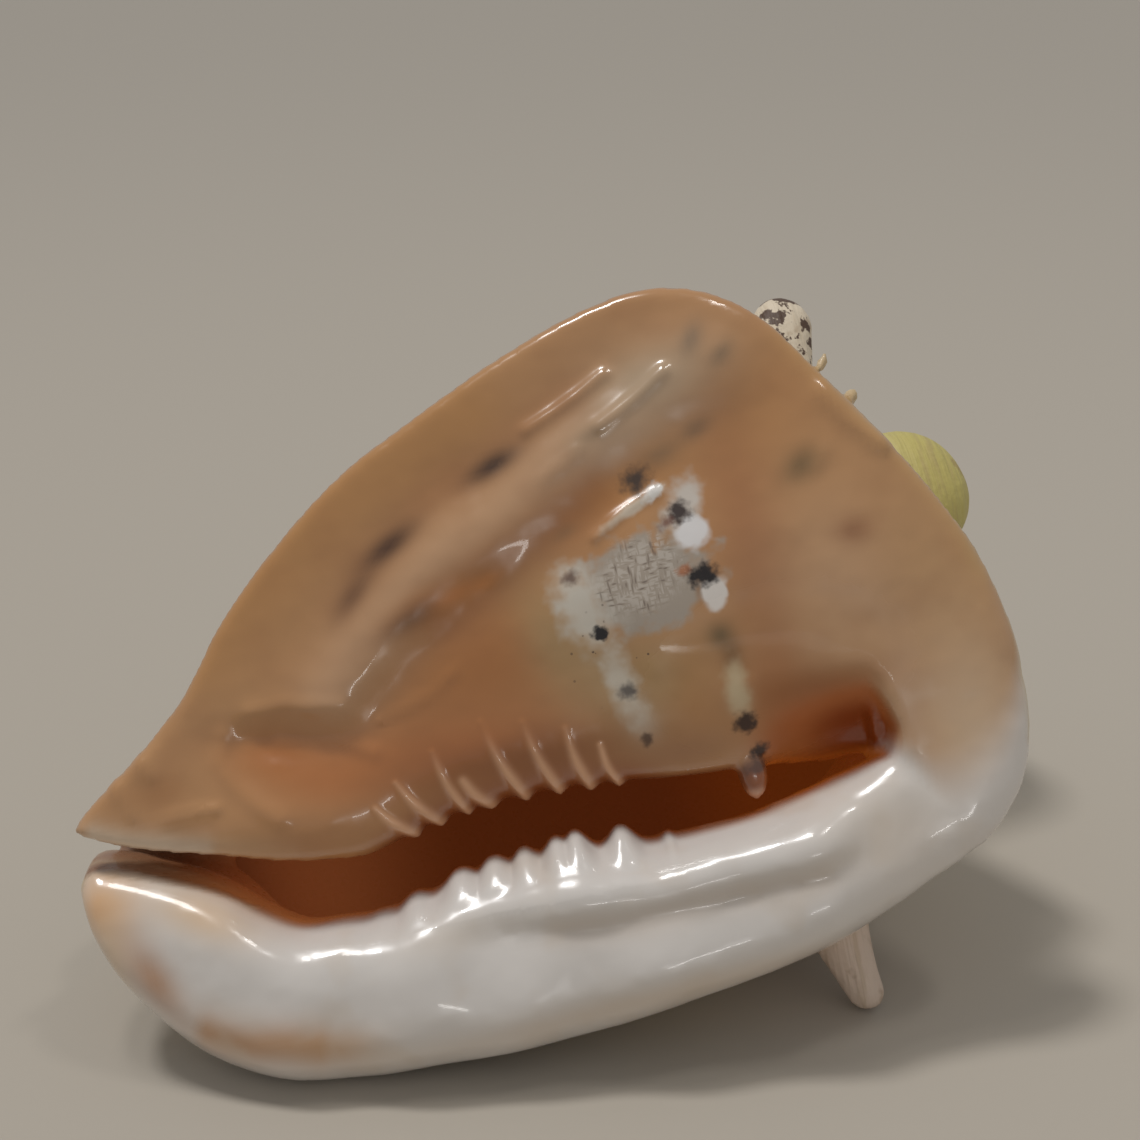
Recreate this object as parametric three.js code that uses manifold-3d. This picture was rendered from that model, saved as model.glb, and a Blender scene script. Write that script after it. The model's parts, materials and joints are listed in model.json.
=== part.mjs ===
// A horned helmet shell: the empty shell of a large sea snail, resting on a table.
//
// One piece of grown shell, 244 mm from the canal tip to the far horn. Its parts flow into one another:
//   - the shield, a broad glossy flange of callus that faces forwards,
//   - the outer lip, a thick rounded roll along the bottom, with teeth on its inner edge,
//   - the mouth, a long slit between the two, open at the canal end,
//   - the body whorl behind them, with a short stepped spire, five horns and two rows of knobs,
//   - the hollow inside, which winds from the mouth round the axis of coiling.
//
// Everything is drawn in the shell's own frame, in millimetres:
//   x runs along the axis of coiling, from the canal tip (0) towards the spire,
//   y is the depth behind the front face, so the viewer looks along +y,
//   z points from the outer lip towards the shield's free edge, with the axis of coiling at z = 0.
// The finished solid is then turned and shifted into the pose in which it rests on z = 0.
import * as THREE from "three";
import { mergeVertices } from "three/addons/utils/BufferGeometryUtils.js";
import Module from "manifold-3d";

const wasm = await Module();
wasm.setup();

// Driving dimensions ---------------------------------------------------------------------------
const AXIS_DEPTH = 52; // the axis of coiling lies this far behind the front face
const WALL = 4.5; // thickness of the body whorl's wall
const SHIELD_THICKNESS = 6;
const LIP_THICKNESS = 20;

// The shield's free edge and, below it, its margin along the mouth, from the canal tip to the
// spire end, where the shield sweeps down to meet the lip. Points are [x, z].
const SHIELD_EDGE = [
  [-1, -9], [3, -5], [9, 1], [22, 11], [34, 22], [47, 38], [66, 55], [83, 67], [106, 78],
  [127, 87], [149, 94], [164, 96], [178, 93], [191, 84], [203, 67], [214, 50], [225, 31],
  [232, 16], [237, -5], [238, -14],
];
const SHIELD_MARGIN = [
  [-1, -9], [3, -9], [16, -14], [35, -19], [54, -24], [69, -26], [79, -24], [89, -21],
  [105, -19], [120, -19], [134, -21], [149, -23], [165, -24], [180, -23], [195, -22], [203, -26],
  [208, -44], [214, -56], [224, -50], [233, -38], [237, -22], [238, -14],
];
// The lip's edge along the mouth, and its outer edge.
const LIP_MARGIN = [
  [-2, -18], [1, -13], [8, -14], [21, -19], [34, -26], [42, -33], [51, -39], [61, -40],
  [70, -41], [81, -39], [89, -37.5], [101, -36], [117, -34.5], [136, -37], [151, -37],
  [166, -36], [181, -33], [192, -31], [204, -28], [214, -36], [220, -44],
];
const LIP_EDGE = [
  [-2, -20], [-1, -33], [6, -52], [19, -66], [37, -76], [58, -80], [77, -81], [97, -81.5],
  [117, -81], [138, -78.5], [158, -76], [178, -73], [194, -68], [210, -60], [220, -48],
];

// Broad swellings and hollows of the shield: centre, half lengths along and across, the turn of
// the long way from x in degrees, and how far it stands out (+) or sinks in (-).
const SWELLINGS = [
  { at: [150, 24], long: 46, wide: 30, turn: 0, out: 7 }, // the body whorl under its callus
  { at: [56, -14], long: 26, wide: 10, turn: -12, out: 4 }, // the foot of the pillar
  { at: [198, 22], long: 24, wide: 30, turn: 0, out: 3 }, // the callus behind the mouth
  { at: [57, 4], long: 19, wide: 8, turn: -8, out: -5 }, // the pit beside the canal
  { at: [186, -17], long: 22, wide: 10, turn: -8, out: -7 }, // the recess at the mouth's far end
];
// The cord that crosses the shield, and the groove on its outer side.
const CORD = [[176, 74], [158, 69], [136, 59], [119, 48], [103, 41], [88, 31], [72, 17]];
const GROOVE = [[152, 77], [134, 70], [119, 62], [103, 55], [92, 48], [78, 35], [70, 26]];
const CORD_OUT = 4;
const CORD_WIDTH = 11;
const GROOVE_IN = 1.5;
const GROOVE_WIDTH = 8;

// The body whorl, station by station along the axis: [x, depth of its centre, z of its centre,
// radius at the back].
const WHORL = [
  [-4, 34, -12, 0], [-2, 34, -12, 9], [5, 33, -12, 15], [15, 33, -11, 20], [30, 37, -9, 26],
  [60, 46, -4, 37], [90, 51, -1, 47], [120, 52, 0, 57], [150, 52, 0, 66], [172, 52, 0, 70.5],
  [185, 52, 0, 71], [195, 52, 0, 66], [204, 52, 0, 54], [212, 52, 0, 42], [216, 52, 0, 30],
  [218, 52, 0, 12], [218.5, 52, 0, 0],
];
const WHORL_START = 0.78; // beside the mouth the whorl begins at this share of its full radius
const WHORL_RISE = 9; // and this much nearer the spire
const FLARE_FROM = 70; // from this angle on the whorl swells out to meet the lip
// The spire's steps, as station and radius.
const SPIRE_PROFILE = [
  [198, 0], [199, 40], [211, 39], [217, 31], [218, 26], [225, 24], [228, 18], [229, 14],
  [234, 12], [237, 8], [238, 5], [241, 3], [242, 0],
];
const APEX_LEAN = -10; // the spire leans this far towards the front face

// Horns on the shoulder, from the one beside the lip round the back: tip, and radii at root and tip.
const HORNS = [
  { tip: [187, 35, -96.5], root: 15, end: 4.6 },
  { tip: [196, 108.5, -64.8], root: 15, end: 6 },
  { tip: [218, 146, -8], root: 17, end: 5 },
  { tip: [254, 109, 38], root: 26, end: 18 },
  { tip: [209, 76, 95], root: 17, end: 8 },
];
// Rows of knobs below the shoulder: station of the row, angles about the axis, radius and height.
const KNOB_ROWS = [
  { station: 158, from: 28, to: 190, count: 6, radius: 12, height: 7 },
  { station: 126, from: 22, to: 180, count: 6, radius: 11, height: 5.8 },
];

// How far in the mouth's slit runs at each station before it opens into the hollow.
const MOUTH_DEPTHS = [[-12, 40], [0, 38], [15, 36], [40, 42], [70, 52], [180, 52], [205, 40]];

// How it rests, in degrees: rolled about y, then leaned back about x. WORN is how much of its
// lowest points the table has worn away.
const ROLL = -11.3;
const LEAN = -24.5;
const WORN = 1.1;

// Helpers ----------------------------------------------------------------------------------------

// The value of a line of [x, value] points at x, carried level past its ends.
function along(points, x) {
  const after = points.findIndex(([px]) => px > x);
  if (after === 0) return points[0][1];
  if (after < 0) return points[points.length - 1][1];
  const [x0, v0] = points[after - 1];
  const [x1, v1] = points[after];
  return v0 + ((v1 - v0) * (x - x0)) / (x1 - x0);
}

// The distance from (x, z) to the nearest point of a polyline.
function nearLine(points, x, z) {
  let best = Infinity;
  for (let i = 1; i < points.length; i += 1) {
    const [ax, az] = points[i - 1];
    const [bx, bz] = points[i];
    const t = ((x - ax) * (bx - ax) + (z - az) * (bz - az)) / ((bx - ax) ** 2 + (bz - az) ** 2);
    const k = THREE.MathUtils.clamp(t, 0, 1);
    best = Math.min(best, Math.hypot(x - ax - k * (bx - ax), z - az - k * (bz - az)));
  }
  return best;
}

const bell = (distance, width) => Math.exp(-((distance / width) ** 2));

// A closed mesh as a manifold-3d solid, with its faces turned outwards.
function solid(geometry) {
  const bare = geometry.clone();
  bare.deleteAttribute("normal");
  bare.deleteAttribute("uv");
  const merged = mergeVertices(bare, 1e-3);
  const vertProperties = merged.attributes.position.array;
  const triVerts = new Uint32Array(merged.index.array);
  const corner = (i) => new THREE.Vector3().fromArray(vertProperties, 3 * triVerts[i]);
  let volume = 0;
  for (let i = 0; i < triVerts.length; i += 3) {
    volume += corner(i).dot(corner(i + 1).cross(corner(i + 2)));
  }
  if (volume < 0) triVerts.reverse();
  return new wasm.Manifold(new wasm.Mesh({ numProp: 3, vertProperties, triVerts }));
}

// A ball of clay: a sphere whose every point is moved to place(turn, rise), with turn from 0 to
// 2 pi round it and rise from -pi/2 to pi/2 between its poles.
function moulded(segments, rings, place) {
  const ball = new THREE.SphereGeometry(1, segments, rings);
  const { position, uv } = ball.attributes;
  for (let i = 0; i < position.count; i += 1) {
    const rise = (uv.getY(i) - 0.5) * Math.PI;
    const atPole = Math.abs(rise) > Math.PI / 2 - 1e-6;
    const turn = atPole ? 0 : uv.getX(i) * 2 * Math.PI;
    position.setXYZ(i, ...place(turn, rise));
  }
  return solid(ball);
}

// The front face ---------------------------------------------------------------------------------

// How deep the lip's roll lies at (x, z): rounded over from the mouth, and curled back at its edge.
function lipDepth(x, z) {
  const inner = along(LIP_MARGIN, x);
  const outer = along(LIP_EDGE, x);
  const across = THREE.MathUtils.clamp((inner - z) / Math.max(inner - outer, 1), 0, 1);
  const crestDepth = -2 + 6 * (1 - THREE.MathUtils.smoothstep(x, 0, 45));
  const roll = across < 0.4
    ? crestDepth + 9 * (1 - across / 0.4) ** 2.2
    : crestDepth + 11 * ((across - 0.4) / 0.6) ** 2.4;
  const merged = THREE.MathUtils.smoothstep(x, 186, 216);
  return roll * (1 - merged) + 6 * merged;
}

// How deep the shield lies at (x, z), with its swellings, its cord and the turn into the mouth.
function shieldDepth(x, z) {
  let depth = 5;
  for (const { at, long, wide, turn, out } of SWELLINGS) {
    const angle = THREE.MathUtils.degToRad(turn);
    const dx = x - at[0];
    const dz = z - at[1];
    const a = (dx * Math.cos(angle) + dz * Math.sin(angle)) / long;
    const b = (dz * Math.cos(angle) - dx * Math.sin(angle)) / wide;
    depth -= out * Math.exp(-(a * a) - b * b);
  }
  depth -= CORD_OUT * bell(nearLine(CORD, x, z), CORD_WIDTH);
  depth += GROOVE_IN * bell(nearLine(GROOVE, x, z), GROOVE_WIDTH);
  const fromMouth = Math.max(z - along(SHIELD_MARGIN, x), 0);
  const besideMouth = THREE.MathUtils.smoothstep(x, 40, 90);
  const beforeEnd = 1 - THREE.MathUtils.smoothstep(x, 196, 206);
  return depth + 6 * besideMouth * beforeEnd * Math.exp(-fromMouth / 7);
}

// A slab with rounded rims between two edges, its front face at the depth given for each (x, z).
function slab({ lower, upper, depth, thickness, segments, rings }) {
  const from = lower[0][0];
  const length = lower[lower.length - 1][0] - from;
  return moulded(segments, rings, (turn, rise) => {
    const x = from + length * (0.5 + 0.5 * Math.sin(rise));
    const [low, high] = [along(lower, x), along(upper, x)];
    const z = (low + high) / 2 + ((high - low) / 2) * Math.cos(turn);
    const half = (thickness / 2) * Math.max(Math.cos(rise), 0) ** 0.3;
    const side = Math.sign(Math.sin(turn)) * Math.abs(Math.sin(turn)) ** 0.55;
    return [x, depth(x, z) + half * (1 - side), z];
  });
}

function shield() {
  return slab({
    lower: SHIELD_MARGIN, upper: SHIELD_EDGE, depth: shieldDepth, thickness: SHIELD_THICKNESS,
    segments: 40, rings: 28,
  });
}

function lip() {
  return slab({
    lower: LIP_EDGE, upper: LIP_MARGIN, depth: lipDepth, thickness: LIP_THICKNESS,
    segments: 18, rings: 28,
  });
}

// The body whorl ---------------------------------------------------------------------------------

// Angles about the axis of coiling: 0 points to the lip, 90 degrees to the back, 180 to the
// shield's free edge and 270 to the front. The whorl grows from the mouth round the back to the lip.

// The whorl's size and shift towards the spire at an angle in degrees.
function growth(angle) {
  const turned = ((angle % 360) + 360) % 360;
  const back = turned > 300 ? 1 - (turned - 300) / 60 : turned / 300;
  return { scale: 1 - (1 - WHORL_START) * back, shift: WHORL_RISE * back };
}

// The whorl's section at a station: the depth and z of its centre, and its radius at the back.
function section(x) {
  return [1, 2, 3].map((i) => along(WHORL.map((row) => [row[0], row[i]]), x));
}

// The radius of the whorl at a station and angle, swelling out to the lip's back beside the mouth.
function whorlRadius(x, angle) {
  const [depth, side, radius] = section(x);
  const grown = radius * growth(angle).scale;
  const signed = THREE.MathUtils.euclideanModulo(angle + 90, 360) - 90; // -90 to 270 degrees
  const edge = THREE.MathUtils.clamp(x, 0, 214);
  const reach = side - along(LIP_EDGE, edge) - 6;
  const lipAngle = THREE.MathUtils.radToDeg(Math.atan2(12 - depth, reach));
  if (radius === 0 || signed > FLARE_FROM) return grown;
  const atLip = Math.max(Math.hypot(12 - depth, reach), grown);
  if (signed < lipAngle) return reach / Math.cos(THREE.MathUtils.degToRad(Math.max(signed, -80)));
  const share = (FLARE_FROM - signed) / (FLARE_FROM - lipAngle);
  const fade = 1 - THREE.MathUtils.smoothstep(x, 195, 216);
  return grown + (atLip - grown) * share ** 1.7 * fade;
}

// The point at a station, an angle in degrees and a radius about the section's centre.
function aboutAxis(station, angle, radius) {
  const [depth, side] = section(station);
  const a = THREE.MathUtils.degToRad(angle);
  return [station, depth + radius * Math.sin(a), side - radius * Math.cos(a)];
}

// The depth of the front face's middle layer, where the whorl's own front is lost in it.
function innerFront(x, z) {
  const inLip = 1 - THREE.MathUtils.smoothstep(z, -40, -28);
  return inLip * (lipDepth(x, z) + 7) + (1 - inLip) * (shieldDepth(x, z) + 4.5);
}

function bodyWhorl() {
  const first = WHORL[0][0];
  const length = WHORL[WHORL.length - 1][0] - first;
  return moulded(42, 24, (turn, rise) => {
    const angle = THREE.MathUtils.radToDeg(turn);
    const station = first + length * (0.5 + 0.5 * Math.sin(rise));
    const { shift } = growth(angle);
    const [x, y, z] = aboutAxis(station, angle, whorlRadius(station, angle));
    const late = THREE.MathUtils.smoothstep(station, 60, 150);
    return [x + shift * late * Math.cos(rise), Math.max(y, innerFront(x, z)), z];
  });
}

function spire() {
  const steps = SPIRE_PROFILE.map(([x, r]) => new THREE.Vector2(r, x));
  const turned = new THREE.LatheGeometry(steps, 24);
  turned.rotateZ(-Math.PI / 2);
  const place = turned.attributes.position;
  for (let i = 0; i < place.count; i += 1) {
    const lean = THREE.MathUtils.smoothstep(place.getX(i), 205, 242) * APEX_LEAN;
    place.setY(i, place.getY(i) + AXIS_DEPTH + lean);
  }
  return solid(turned);
}

// A blunt horn with a flared root, standing on the axis side of its tip.
function horn({ tip, root, end }) {
  const top = new THREE.Vector3(...tip);
  const outward = new THREE.Vector3(0, top.y - AXIS_DEPTH, top.z);
  const rootOut = Math.min(outward.length() - 18, 54);
  const foot = new THREE.Vector3(Math.min(top.x, 196) - 6, AXIS_DEPTH, 0);
  foot.addScaledVector(outward.normalize(), rootOut);
  const length = foot.distanceTo(top);
  const profile = [new THREE.Vector2(0, 0), new THREE.Vector2(root, 0)];
  for (let i = 1; i <= 5; i += 1) {
    const t = i / 5;
    profile.push(new THREE.Vector2(end + (root - end) * (1 - t) ** 1.5, (length - end) * t));
  }
  for (let i = 1; i <= 3; i += 1) {
    const a = (i / 3) * (Math.PI / 2);
    profile.push(new THREE.Vector2(end * Math.cos(a), length - end + end * Math.sin(a)));
  }
  profile[profile.length - 1].x = 0;
  const cone = new THREE.LatheGeometry(profile, 12);
  const up = new THREE.Vector3(0, 1, 0);
  const towards = top.clone().sub(foot).normalize();
  cone.applyQuaternion(new THREE.Quaternion().setFromUnitVectors(up, towards));
  cone.translate(foot.x, foot.y, foot.z);
  return solid(cone);
}

function knobs() {
  return KNOB_ROWS.flatMap(({ station, from, to, count, radius, height }) =>
    Array.from({ length: count }, (_, i) => {
      const angle = from + ((to - from) * i) / (count - 1);
      const [x, y, z] = aboutAxis(station, angle, whorlRadius(station, angle) - 2);
      const outward = new THREE.Vector3(0, y - AXIS_DEPTH, z).normalize();
      const ball = new THREE.SphereGeometry(1, 9, 6);
      ball.scale(radius, height + 2, radius);
      ball.applyQuaternion(
        new THREE.Quaternion().setFromUnitVectors(new THREE.Vector3(0, 1, 0), outward),
      );
      ball.translate(x + growth(angle).shift, y, z);
      return solid(ball);
    }),
  );
}

// The open space -----------------------------------------------------------------------------------

// The mouth's slit, straight in from the front through the whorl's wall.
function mouth() {
  const shieldSide = SHIELD_MARGIN.filter(([x]) => x > 0 && x < 200).map(([x, z]) => [x, z + 3]);
  const lipSide = LIP_MARGIN.filter(([x]) => x > 0 && x < 206).map(([x, z]) => [x, z - 3]);
  const rim = [[-14, -6], ...shieldSide, ...lipSide.reverse(), [-14, -16]];
  const slit = new THREE.ExtrudeGeometry(new THREE.Shape(rim.map((p) => new THREE.Vector2(...p))), {
    depth: 1, bevelEnabled: false, steps: 1,
  });
  slit.rotateX(Math.PI / 2);
  const place = slit.attributes.position;
  for (let i = 0; i < place.count; i += 1) {
    const front = place.getY(i) < -0.5;
    place.setY(i, front ? 6 : along(MOUTH_DEPTHS, place.getX(i)));
  }
  return solid(slit);
}

// The hollow: a bent chamber that winds from the mouth round the back to behind the shield, and
// leaves a pillar of shell along the axis of coiling.
function hollow() {
  const [from, to] = [-62, 264];
  return moulded(24, 18, (turn, rise) => {
    const angle = from + (to - from) * (0.5 + rise / Math.PI);
    const taper = Math.max(Math.cos(rise), 0) ** 0.33;
    const station = 114 + 93 * taper * Math.cos(turn);
    const wall = WALL + 7 * THREE.MathUtils.smoothstep(-angle, -20, 30)
      + 2 * THREE.MathUtils.smoothstep(angle, 170, 250);
    const outside = Math.max(whorlRadius(station, angle) - wall, 9);
    const pillar = Math.min(6 + 8 * THREE.MathUtils.smoothstep(station, 120, 190), outside - 2);
    const half = ((outside - pillar) / 2) * taper;
    const side = Math.sign(Math.sin(turn)) * Math.abs(Math.sin(turn)) ** 0.45;
    const [x, y, z] = aboutAxis(station, angle, (outside + pillar) / 2 + half * side);
    return [x, Math.max(y, 16), z];
  });
}

// The shell ------------------------------------------------------------------------------------------

// The whole shell in its own frame. Bubbles closed in between its parts are filled.
function grownShell() {
  const parts = [spire(), ...HORNS.map(horn), ...knobs()];
  const whorl = parts.reduce((sum, part) => sum.add(part), bodyWhorl());
  const whole = whorl.subtract(mouth()).subtract(hollow()).add(shield()).add(lip());
  return whole.decompose().reduce((most, body) => (body.volume() > most.volume() ? body : most));
}

// The shell as it rests, with its lowest points worn flat where they meet the table.
function restingShell() {
  const posed = grownShell().rotate([0, ROLL, 0]).rotate([LEAN, 0, 0]);
  const { min, max } = posed.boundingBox();
  const table = new THREE.BoxGeometry(600, 600, 100).translate(0, 0, -50);
  return posed
    .translate([-(min[0] + max[0]) / 2, -(min[1] + max[1]) / 2, -min[2] - WORN])
    .subtract(solid(table));
}

function shellMesh() {
  const { vertProperties, triVerts } = restingShell().getMesh();
  const geometry = new THREE.BufferGeometry();
  geometry.setAttribute("position", new THREE.BufferAttribute(vertProperties, 3));
  geometry.setIndex(new THREE.BufferAttribute(triVerts, 1));
  geometry.computeVertexNormals();
  const material = new THREE.MeshStandardMaterial({ color: 0xb98a5e, roughness: 0.25, metalness: 0 });
  const mesh = new THREE.Mesh(geometry, material);
  mesh.name = "shell";
  return mesh;
}

const helmetShell = new THREE.Group();
helmetShell.add(shellMesh());

export default helmetShell;
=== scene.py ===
"""A horned helmet shell at rest on a pale floor.

The shell is modelled in its own frame, in millimetres: x runs along the axis
of coiling from the canal tip towards the spire, y is the depth behind the
front face, and z points from the outer lip towards the shield's free edge.
Pose then turns it about and sets it down in the row frame, in metres.
"""

import json
import logging
import math
from dataclasses import dataclass, field
from enum import Enum
from functools import cached_property
from typing import Callable

import bmesh
import bpy
import numpy as np
from mathutils import Matrix, Quaternion, Vector
from mathutils.bvhtree import BVHTree

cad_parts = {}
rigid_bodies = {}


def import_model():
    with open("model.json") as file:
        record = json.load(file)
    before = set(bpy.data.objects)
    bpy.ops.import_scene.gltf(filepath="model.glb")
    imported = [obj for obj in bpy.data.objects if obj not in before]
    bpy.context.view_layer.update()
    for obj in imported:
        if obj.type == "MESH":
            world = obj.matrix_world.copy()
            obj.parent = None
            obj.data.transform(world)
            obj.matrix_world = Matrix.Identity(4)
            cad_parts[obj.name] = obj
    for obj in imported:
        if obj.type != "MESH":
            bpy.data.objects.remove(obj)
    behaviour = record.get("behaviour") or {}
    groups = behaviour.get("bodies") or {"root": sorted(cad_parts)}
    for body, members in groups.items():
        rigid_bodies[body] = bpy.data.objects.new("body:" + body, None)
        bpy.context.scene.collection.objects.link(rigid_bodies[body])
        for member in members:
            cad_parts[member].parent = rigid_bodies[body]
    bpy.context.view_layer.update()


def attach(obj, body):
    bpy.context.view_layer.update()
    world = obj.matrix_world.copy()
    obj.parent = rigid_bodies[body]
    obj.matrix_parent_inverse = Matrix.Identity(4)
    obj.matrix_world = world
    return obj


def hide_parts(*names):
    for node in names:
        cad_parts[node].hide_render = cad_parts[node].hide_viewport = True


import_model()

log = logging.getLogger("helmet_shell")

Points = tuple[tuple[float, float], ...]
Colour = tuple[int, int, int]
Place = Callable[[np.ndarray, np.ndarray], np.ndarray]


# Curves and small sums -----------------------------------------------------------------------


def eased(value: np.ndarray, start: float, end: float) -> np.ndarray:
    """Rises smoothly from 0 at start to 1 at end."""
    share = np.clip((np.asarray(value, float) - start) / (end - start), 0, 1)
    return share * share * (3 - 2 * share)


def bell(distance: np.ndarray, width: float | np.ndarray) -> np.ndarray:
    """A soft hump, 1 in the middle, over a width to either side."""
    return np.exp(-((distance / width) ** 2))


def rounding(distance: np.ndarray, radius: float | np.ndarray) -> np.ndarray:
    """The share of full thickness at a distance in from a rim rounded to a radius."""
    inside = 1 - np.clip(distance / radius, 0, 1)
    return np.sqrt(np.clip(1 - inside * inside, 0, 1))


def spline(points: Points, per_span: int = 16) -> np.ndarray:
    """Runs a centripetal Catmull-Rom curve through points.

    Args:
        points: the points it goes through, in order.
        per_span: how many steps it takes between neighbours.

    Returns:
        The curve's points, one row each.
    """
    known = np.array(points, float)
    known = np.vstack([2 * known[0] - known[1], known, 2 * known[-1] - known[-2]])
    rows = []
    for a, b, c, d in zip(known, known[1:], known[2:], known[3:]):
        gaps = [math.sqrt(max(float(np.linalg.norm(q - p)), 1e-6)) for p, q in ((a, b), (b, c), (c, d))]
        ta, tb = 0.0, gaps[0]
        tc, td = tb + gaps[1], tb + gaps[1] + gaps[2]
        t = np.linspace(tb, tc, per_span, endpoint=False)[:, None]
        ab = (tb - t) / (tb - ta) * a + (t - ta) / (tb - ta) * b
        bc = (tc - t) / (tc - tb) * b + (t - tb) / (tc - tb) * c
        cd = (td - t) / (td - tc) * c + (t - tc) / (td - tc) * d
        left = (tc - t) / (tc - ta) * ab + (t - ta) / (tc - ta) * bc
        right = (td - t) / (td - tb) * bc + (t - tb) / (td - tb) * cd
        rows.append((tc - t) / (tc - tb) * left + (t - tb) / (tc - tb) * right)
    return np.vstack([*rows, known[-2]])


@dataclass(frozen=True)
class Outline:
    """A smooth line of values, read off by station."""

    points: Points

    @cached_property
    def curve(self) -> np.ndarray:
        """The smooth line, with its stations always rising.

        Returns:
            The line's points, one row each.
        """
        line = spline(self.points)
        line[:, 0] = np.maximum.accumulate(line[:, 0])
        return line

    def at(self, station: np.ndarray | float) -> np.ndarray:
        """The value at a station, carried level past the ends."""
        return np.interp(station, self.curve[:, 0], self.curve[:, 1])

    def moved(self, by: float, first: float, last: float) -> "Outline":
        """The part between two stations, moved by an amount in value."""
        kept = [(x, value + by) for x, value in self.points if first <= x <= last]
        return Outline(tuple(kept))


@dataclass(frozen=True)
class Trail:
    """A smooth path over the front face, with a share from 0 to 1 along it."""

    points: Points

    @cached_property
    def curve(self) -> np.ndarray:
        """The path's points."""
        return spline(self.points, 8)

    def near(self, x: np.ndarray, z: np.ndarray) -> tuple[np.ndarray, np.ndarray]:
        """How far points lie from the path, and where along it they are nearest.

        Args:
            x: the points' stations.
            z: the points' heights.

        Returns:
            The distance and the share along the path, for each point.
        """
        best = np.full(np.shape(x), np.inf)
        share = np.zeros(np.shape(x))
        count = len(self.curve) - 1
        for index, (a, b) in enumerate(zip(self.curve, self.curve[1:])):
            step = b - a
            along = ((x - a[0]) * step[0] + (z - a[1]) * step[1]) / max(float(step @ step), 1e-9)
            along = np.clip(along, 0, 1)
            gap = np.hypot(x - a[0] - along * step[0], z - a[1] - along * step[1])
            nearer = gap < best
            best = np.where(nearer, gap, best)
            share = np.where(nearer, (index + along) / count, share)
        return best, share


@dataclass(frozen=True)
class Patch:
    """A soft oval place on the front face."""

    x: float
    z: float
    long: float
    wide: float
    turn: float = 0.0

    def cover(self, x: np.ndarray, z: np.ndarray) -> np.ndarray:
        """How much of the patch reaches each point: 1 in the middle, fading out.

        Args:
            x: the points' stations.
            z: the points' heights.

        Returns:
            The cover at each point, from 0 to 1.
        """
        angle = math.radians(self.turn)
        dx, dz = x - self.x, z - self.z
        a = (dx * math.cos(angle) + dz * math.sin(angle)) / self.long
        b = (dz * math.cos(angle) - dx * math.sin(angle)) / self.wide
        return np.exp(-(a * a + b * b))


# Mesh tools ----------------------------------------------------------------------------------


def corners(mesh: bpy.types.Mesh) -> np.ndarray:
    """The mesh's vertex positions, one row each.

    Args:
        mesh: the mesh.

    Returns:
        The positions.
    """
    flat = np.empty(3 * len(mesh.vertices))
    mesh.vertices.foreach_get("co", flat)
    return flat.reshape(-1, 3)


def nearness(mesh: bpy.types.Mesh, spots: np.ndarray) -> np.ndarray:
    """How far each spot lies from the mesh's surface.

    Args:
        mesh: the mesh.
        spots: the points, in the shell's frame.

    Returns:
        The distances, in the order of the spots.
    """
    places = [tuple(vert.co) for vert in mesh.vertices]
    tree = BVHTree.FromPolygons(places, [tuple(face.vertices) for face in mesh.polygons])
    return np.array([tree.find_nearest(Vector(spot))[3] for spot in spots])


def put_corners(mesh: bpy.types.Mesh, places: np.ndarray) -> None:
    """Moves the mesh's vertices to the places given."""
    mesh.vertices.foreach_set("co", np.asarray(places, float).ravel())
    mesh.update()


def outwards(mesh: bpy.types.Mesh) -> np.ndarray:
    """The mesh's vertex normals, one row each.

    Args:
        mesh: the mesh.

    Returns:
        The normals.
    """
    flat = np.empty(3 * len(mesh.vertices))
    mesh.vertex_normals.foreach_get("vector", flat)
    return flat.reshape(-1, 3)


def stand(name: str, data: bpy.types.ID) -> bpy.types.Object:
    """Makes an object of a mesh, lamp or camera and puts it in the scene.

    Args:
        name: its name.
        data: the mesh, lamp or camera.

    Returns:
        The object.
    """
    made = bpy.data.objects.new(name, data)
    bpy.context.scene.collection.objects.link(made)
    return made


def moulded(name: str, segments: int, rings: int, place: Place) -> bpy.types.Object:
    """Presses a ball of clay into shape.

    Args:
        name: the new object's name.
        segments: how many divisions the ball has round it.
        rings: how many it has from pole to pole.
        place: gives the place in the shell's frame for a turn round the ball and a rise
            between its poles, both in radians.

    Returns:
        The closed, outward-facing object.
    """
    mesh = bpy.data.meshes.new(name)
    bm = bmesh.new()
    bmesh.ops.create_uvsphere(bm, u_segments=segments, v_segments=rings, radius=1.0)
    bm.to_mesh(mesh)
    ball = corners(mesh)
    turn = np.mod(np.arctan2(ball[:, 1], ball[:, 0]), 2 * math.pi)
    rise = np.arcsin(np.clip(ball[:, 2], -1, 1))
    turn[np.abs(ball[:, 2]) > 1 - 1e-9] = 0.0
    places = place(turn, rise)
    for vert, spot in zip(bm.verts, places):
        vert.co = spot
    if bm.calc_volume(signed=True) < 0:
        bmesh.ops.reverse_faces(bm, faces=bm.faces)
    bm.to_mesh(mesh)
    bm.free()
    return stand(name, mesh)


def settle(piece: bpy.types.Object) -> None:
    """Makes the piece's modifiers part of its mesh.

    Args:
        piece: the piece.
    """
    graph = bpy.context.evaluated_depsgraph_get()
    graph.update()
    done = bpy.data.meshes.new_from_object(piece.evaluated_get(graph))
    old = piece.data
    piece.modifiers.clear()
    piece.data = done
    bpy.data.meshes.remove(old)


class Joint(Enum):
    """How one solid is worked into another."""

    ADD = "UNION"
    CUT = "DIFFERENCE"


def work_in(whole: bpy.types.Object, part: bpy.types.Object, joint: Joint) -> None:
    """Adds a part to the whole, or cuts it away, and uses the part up.

    Args:
        whole: the solid that is kept.
        part: the solid that is worked in.
        joint: how it is worked in.
    """
    tool = whole.modifiers.new("joint", "BOOLEAN")
    tool.operation = joint.value
    tool.solver = "MANIFOLD"
    tool.object = part
    settle(whole)
    mesh = part.data
    bpy.data.objects.remove(part)
    bpy.data.meshes.remove(mesh)


# The front face ------------------------------------------------------------------------------


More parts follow.
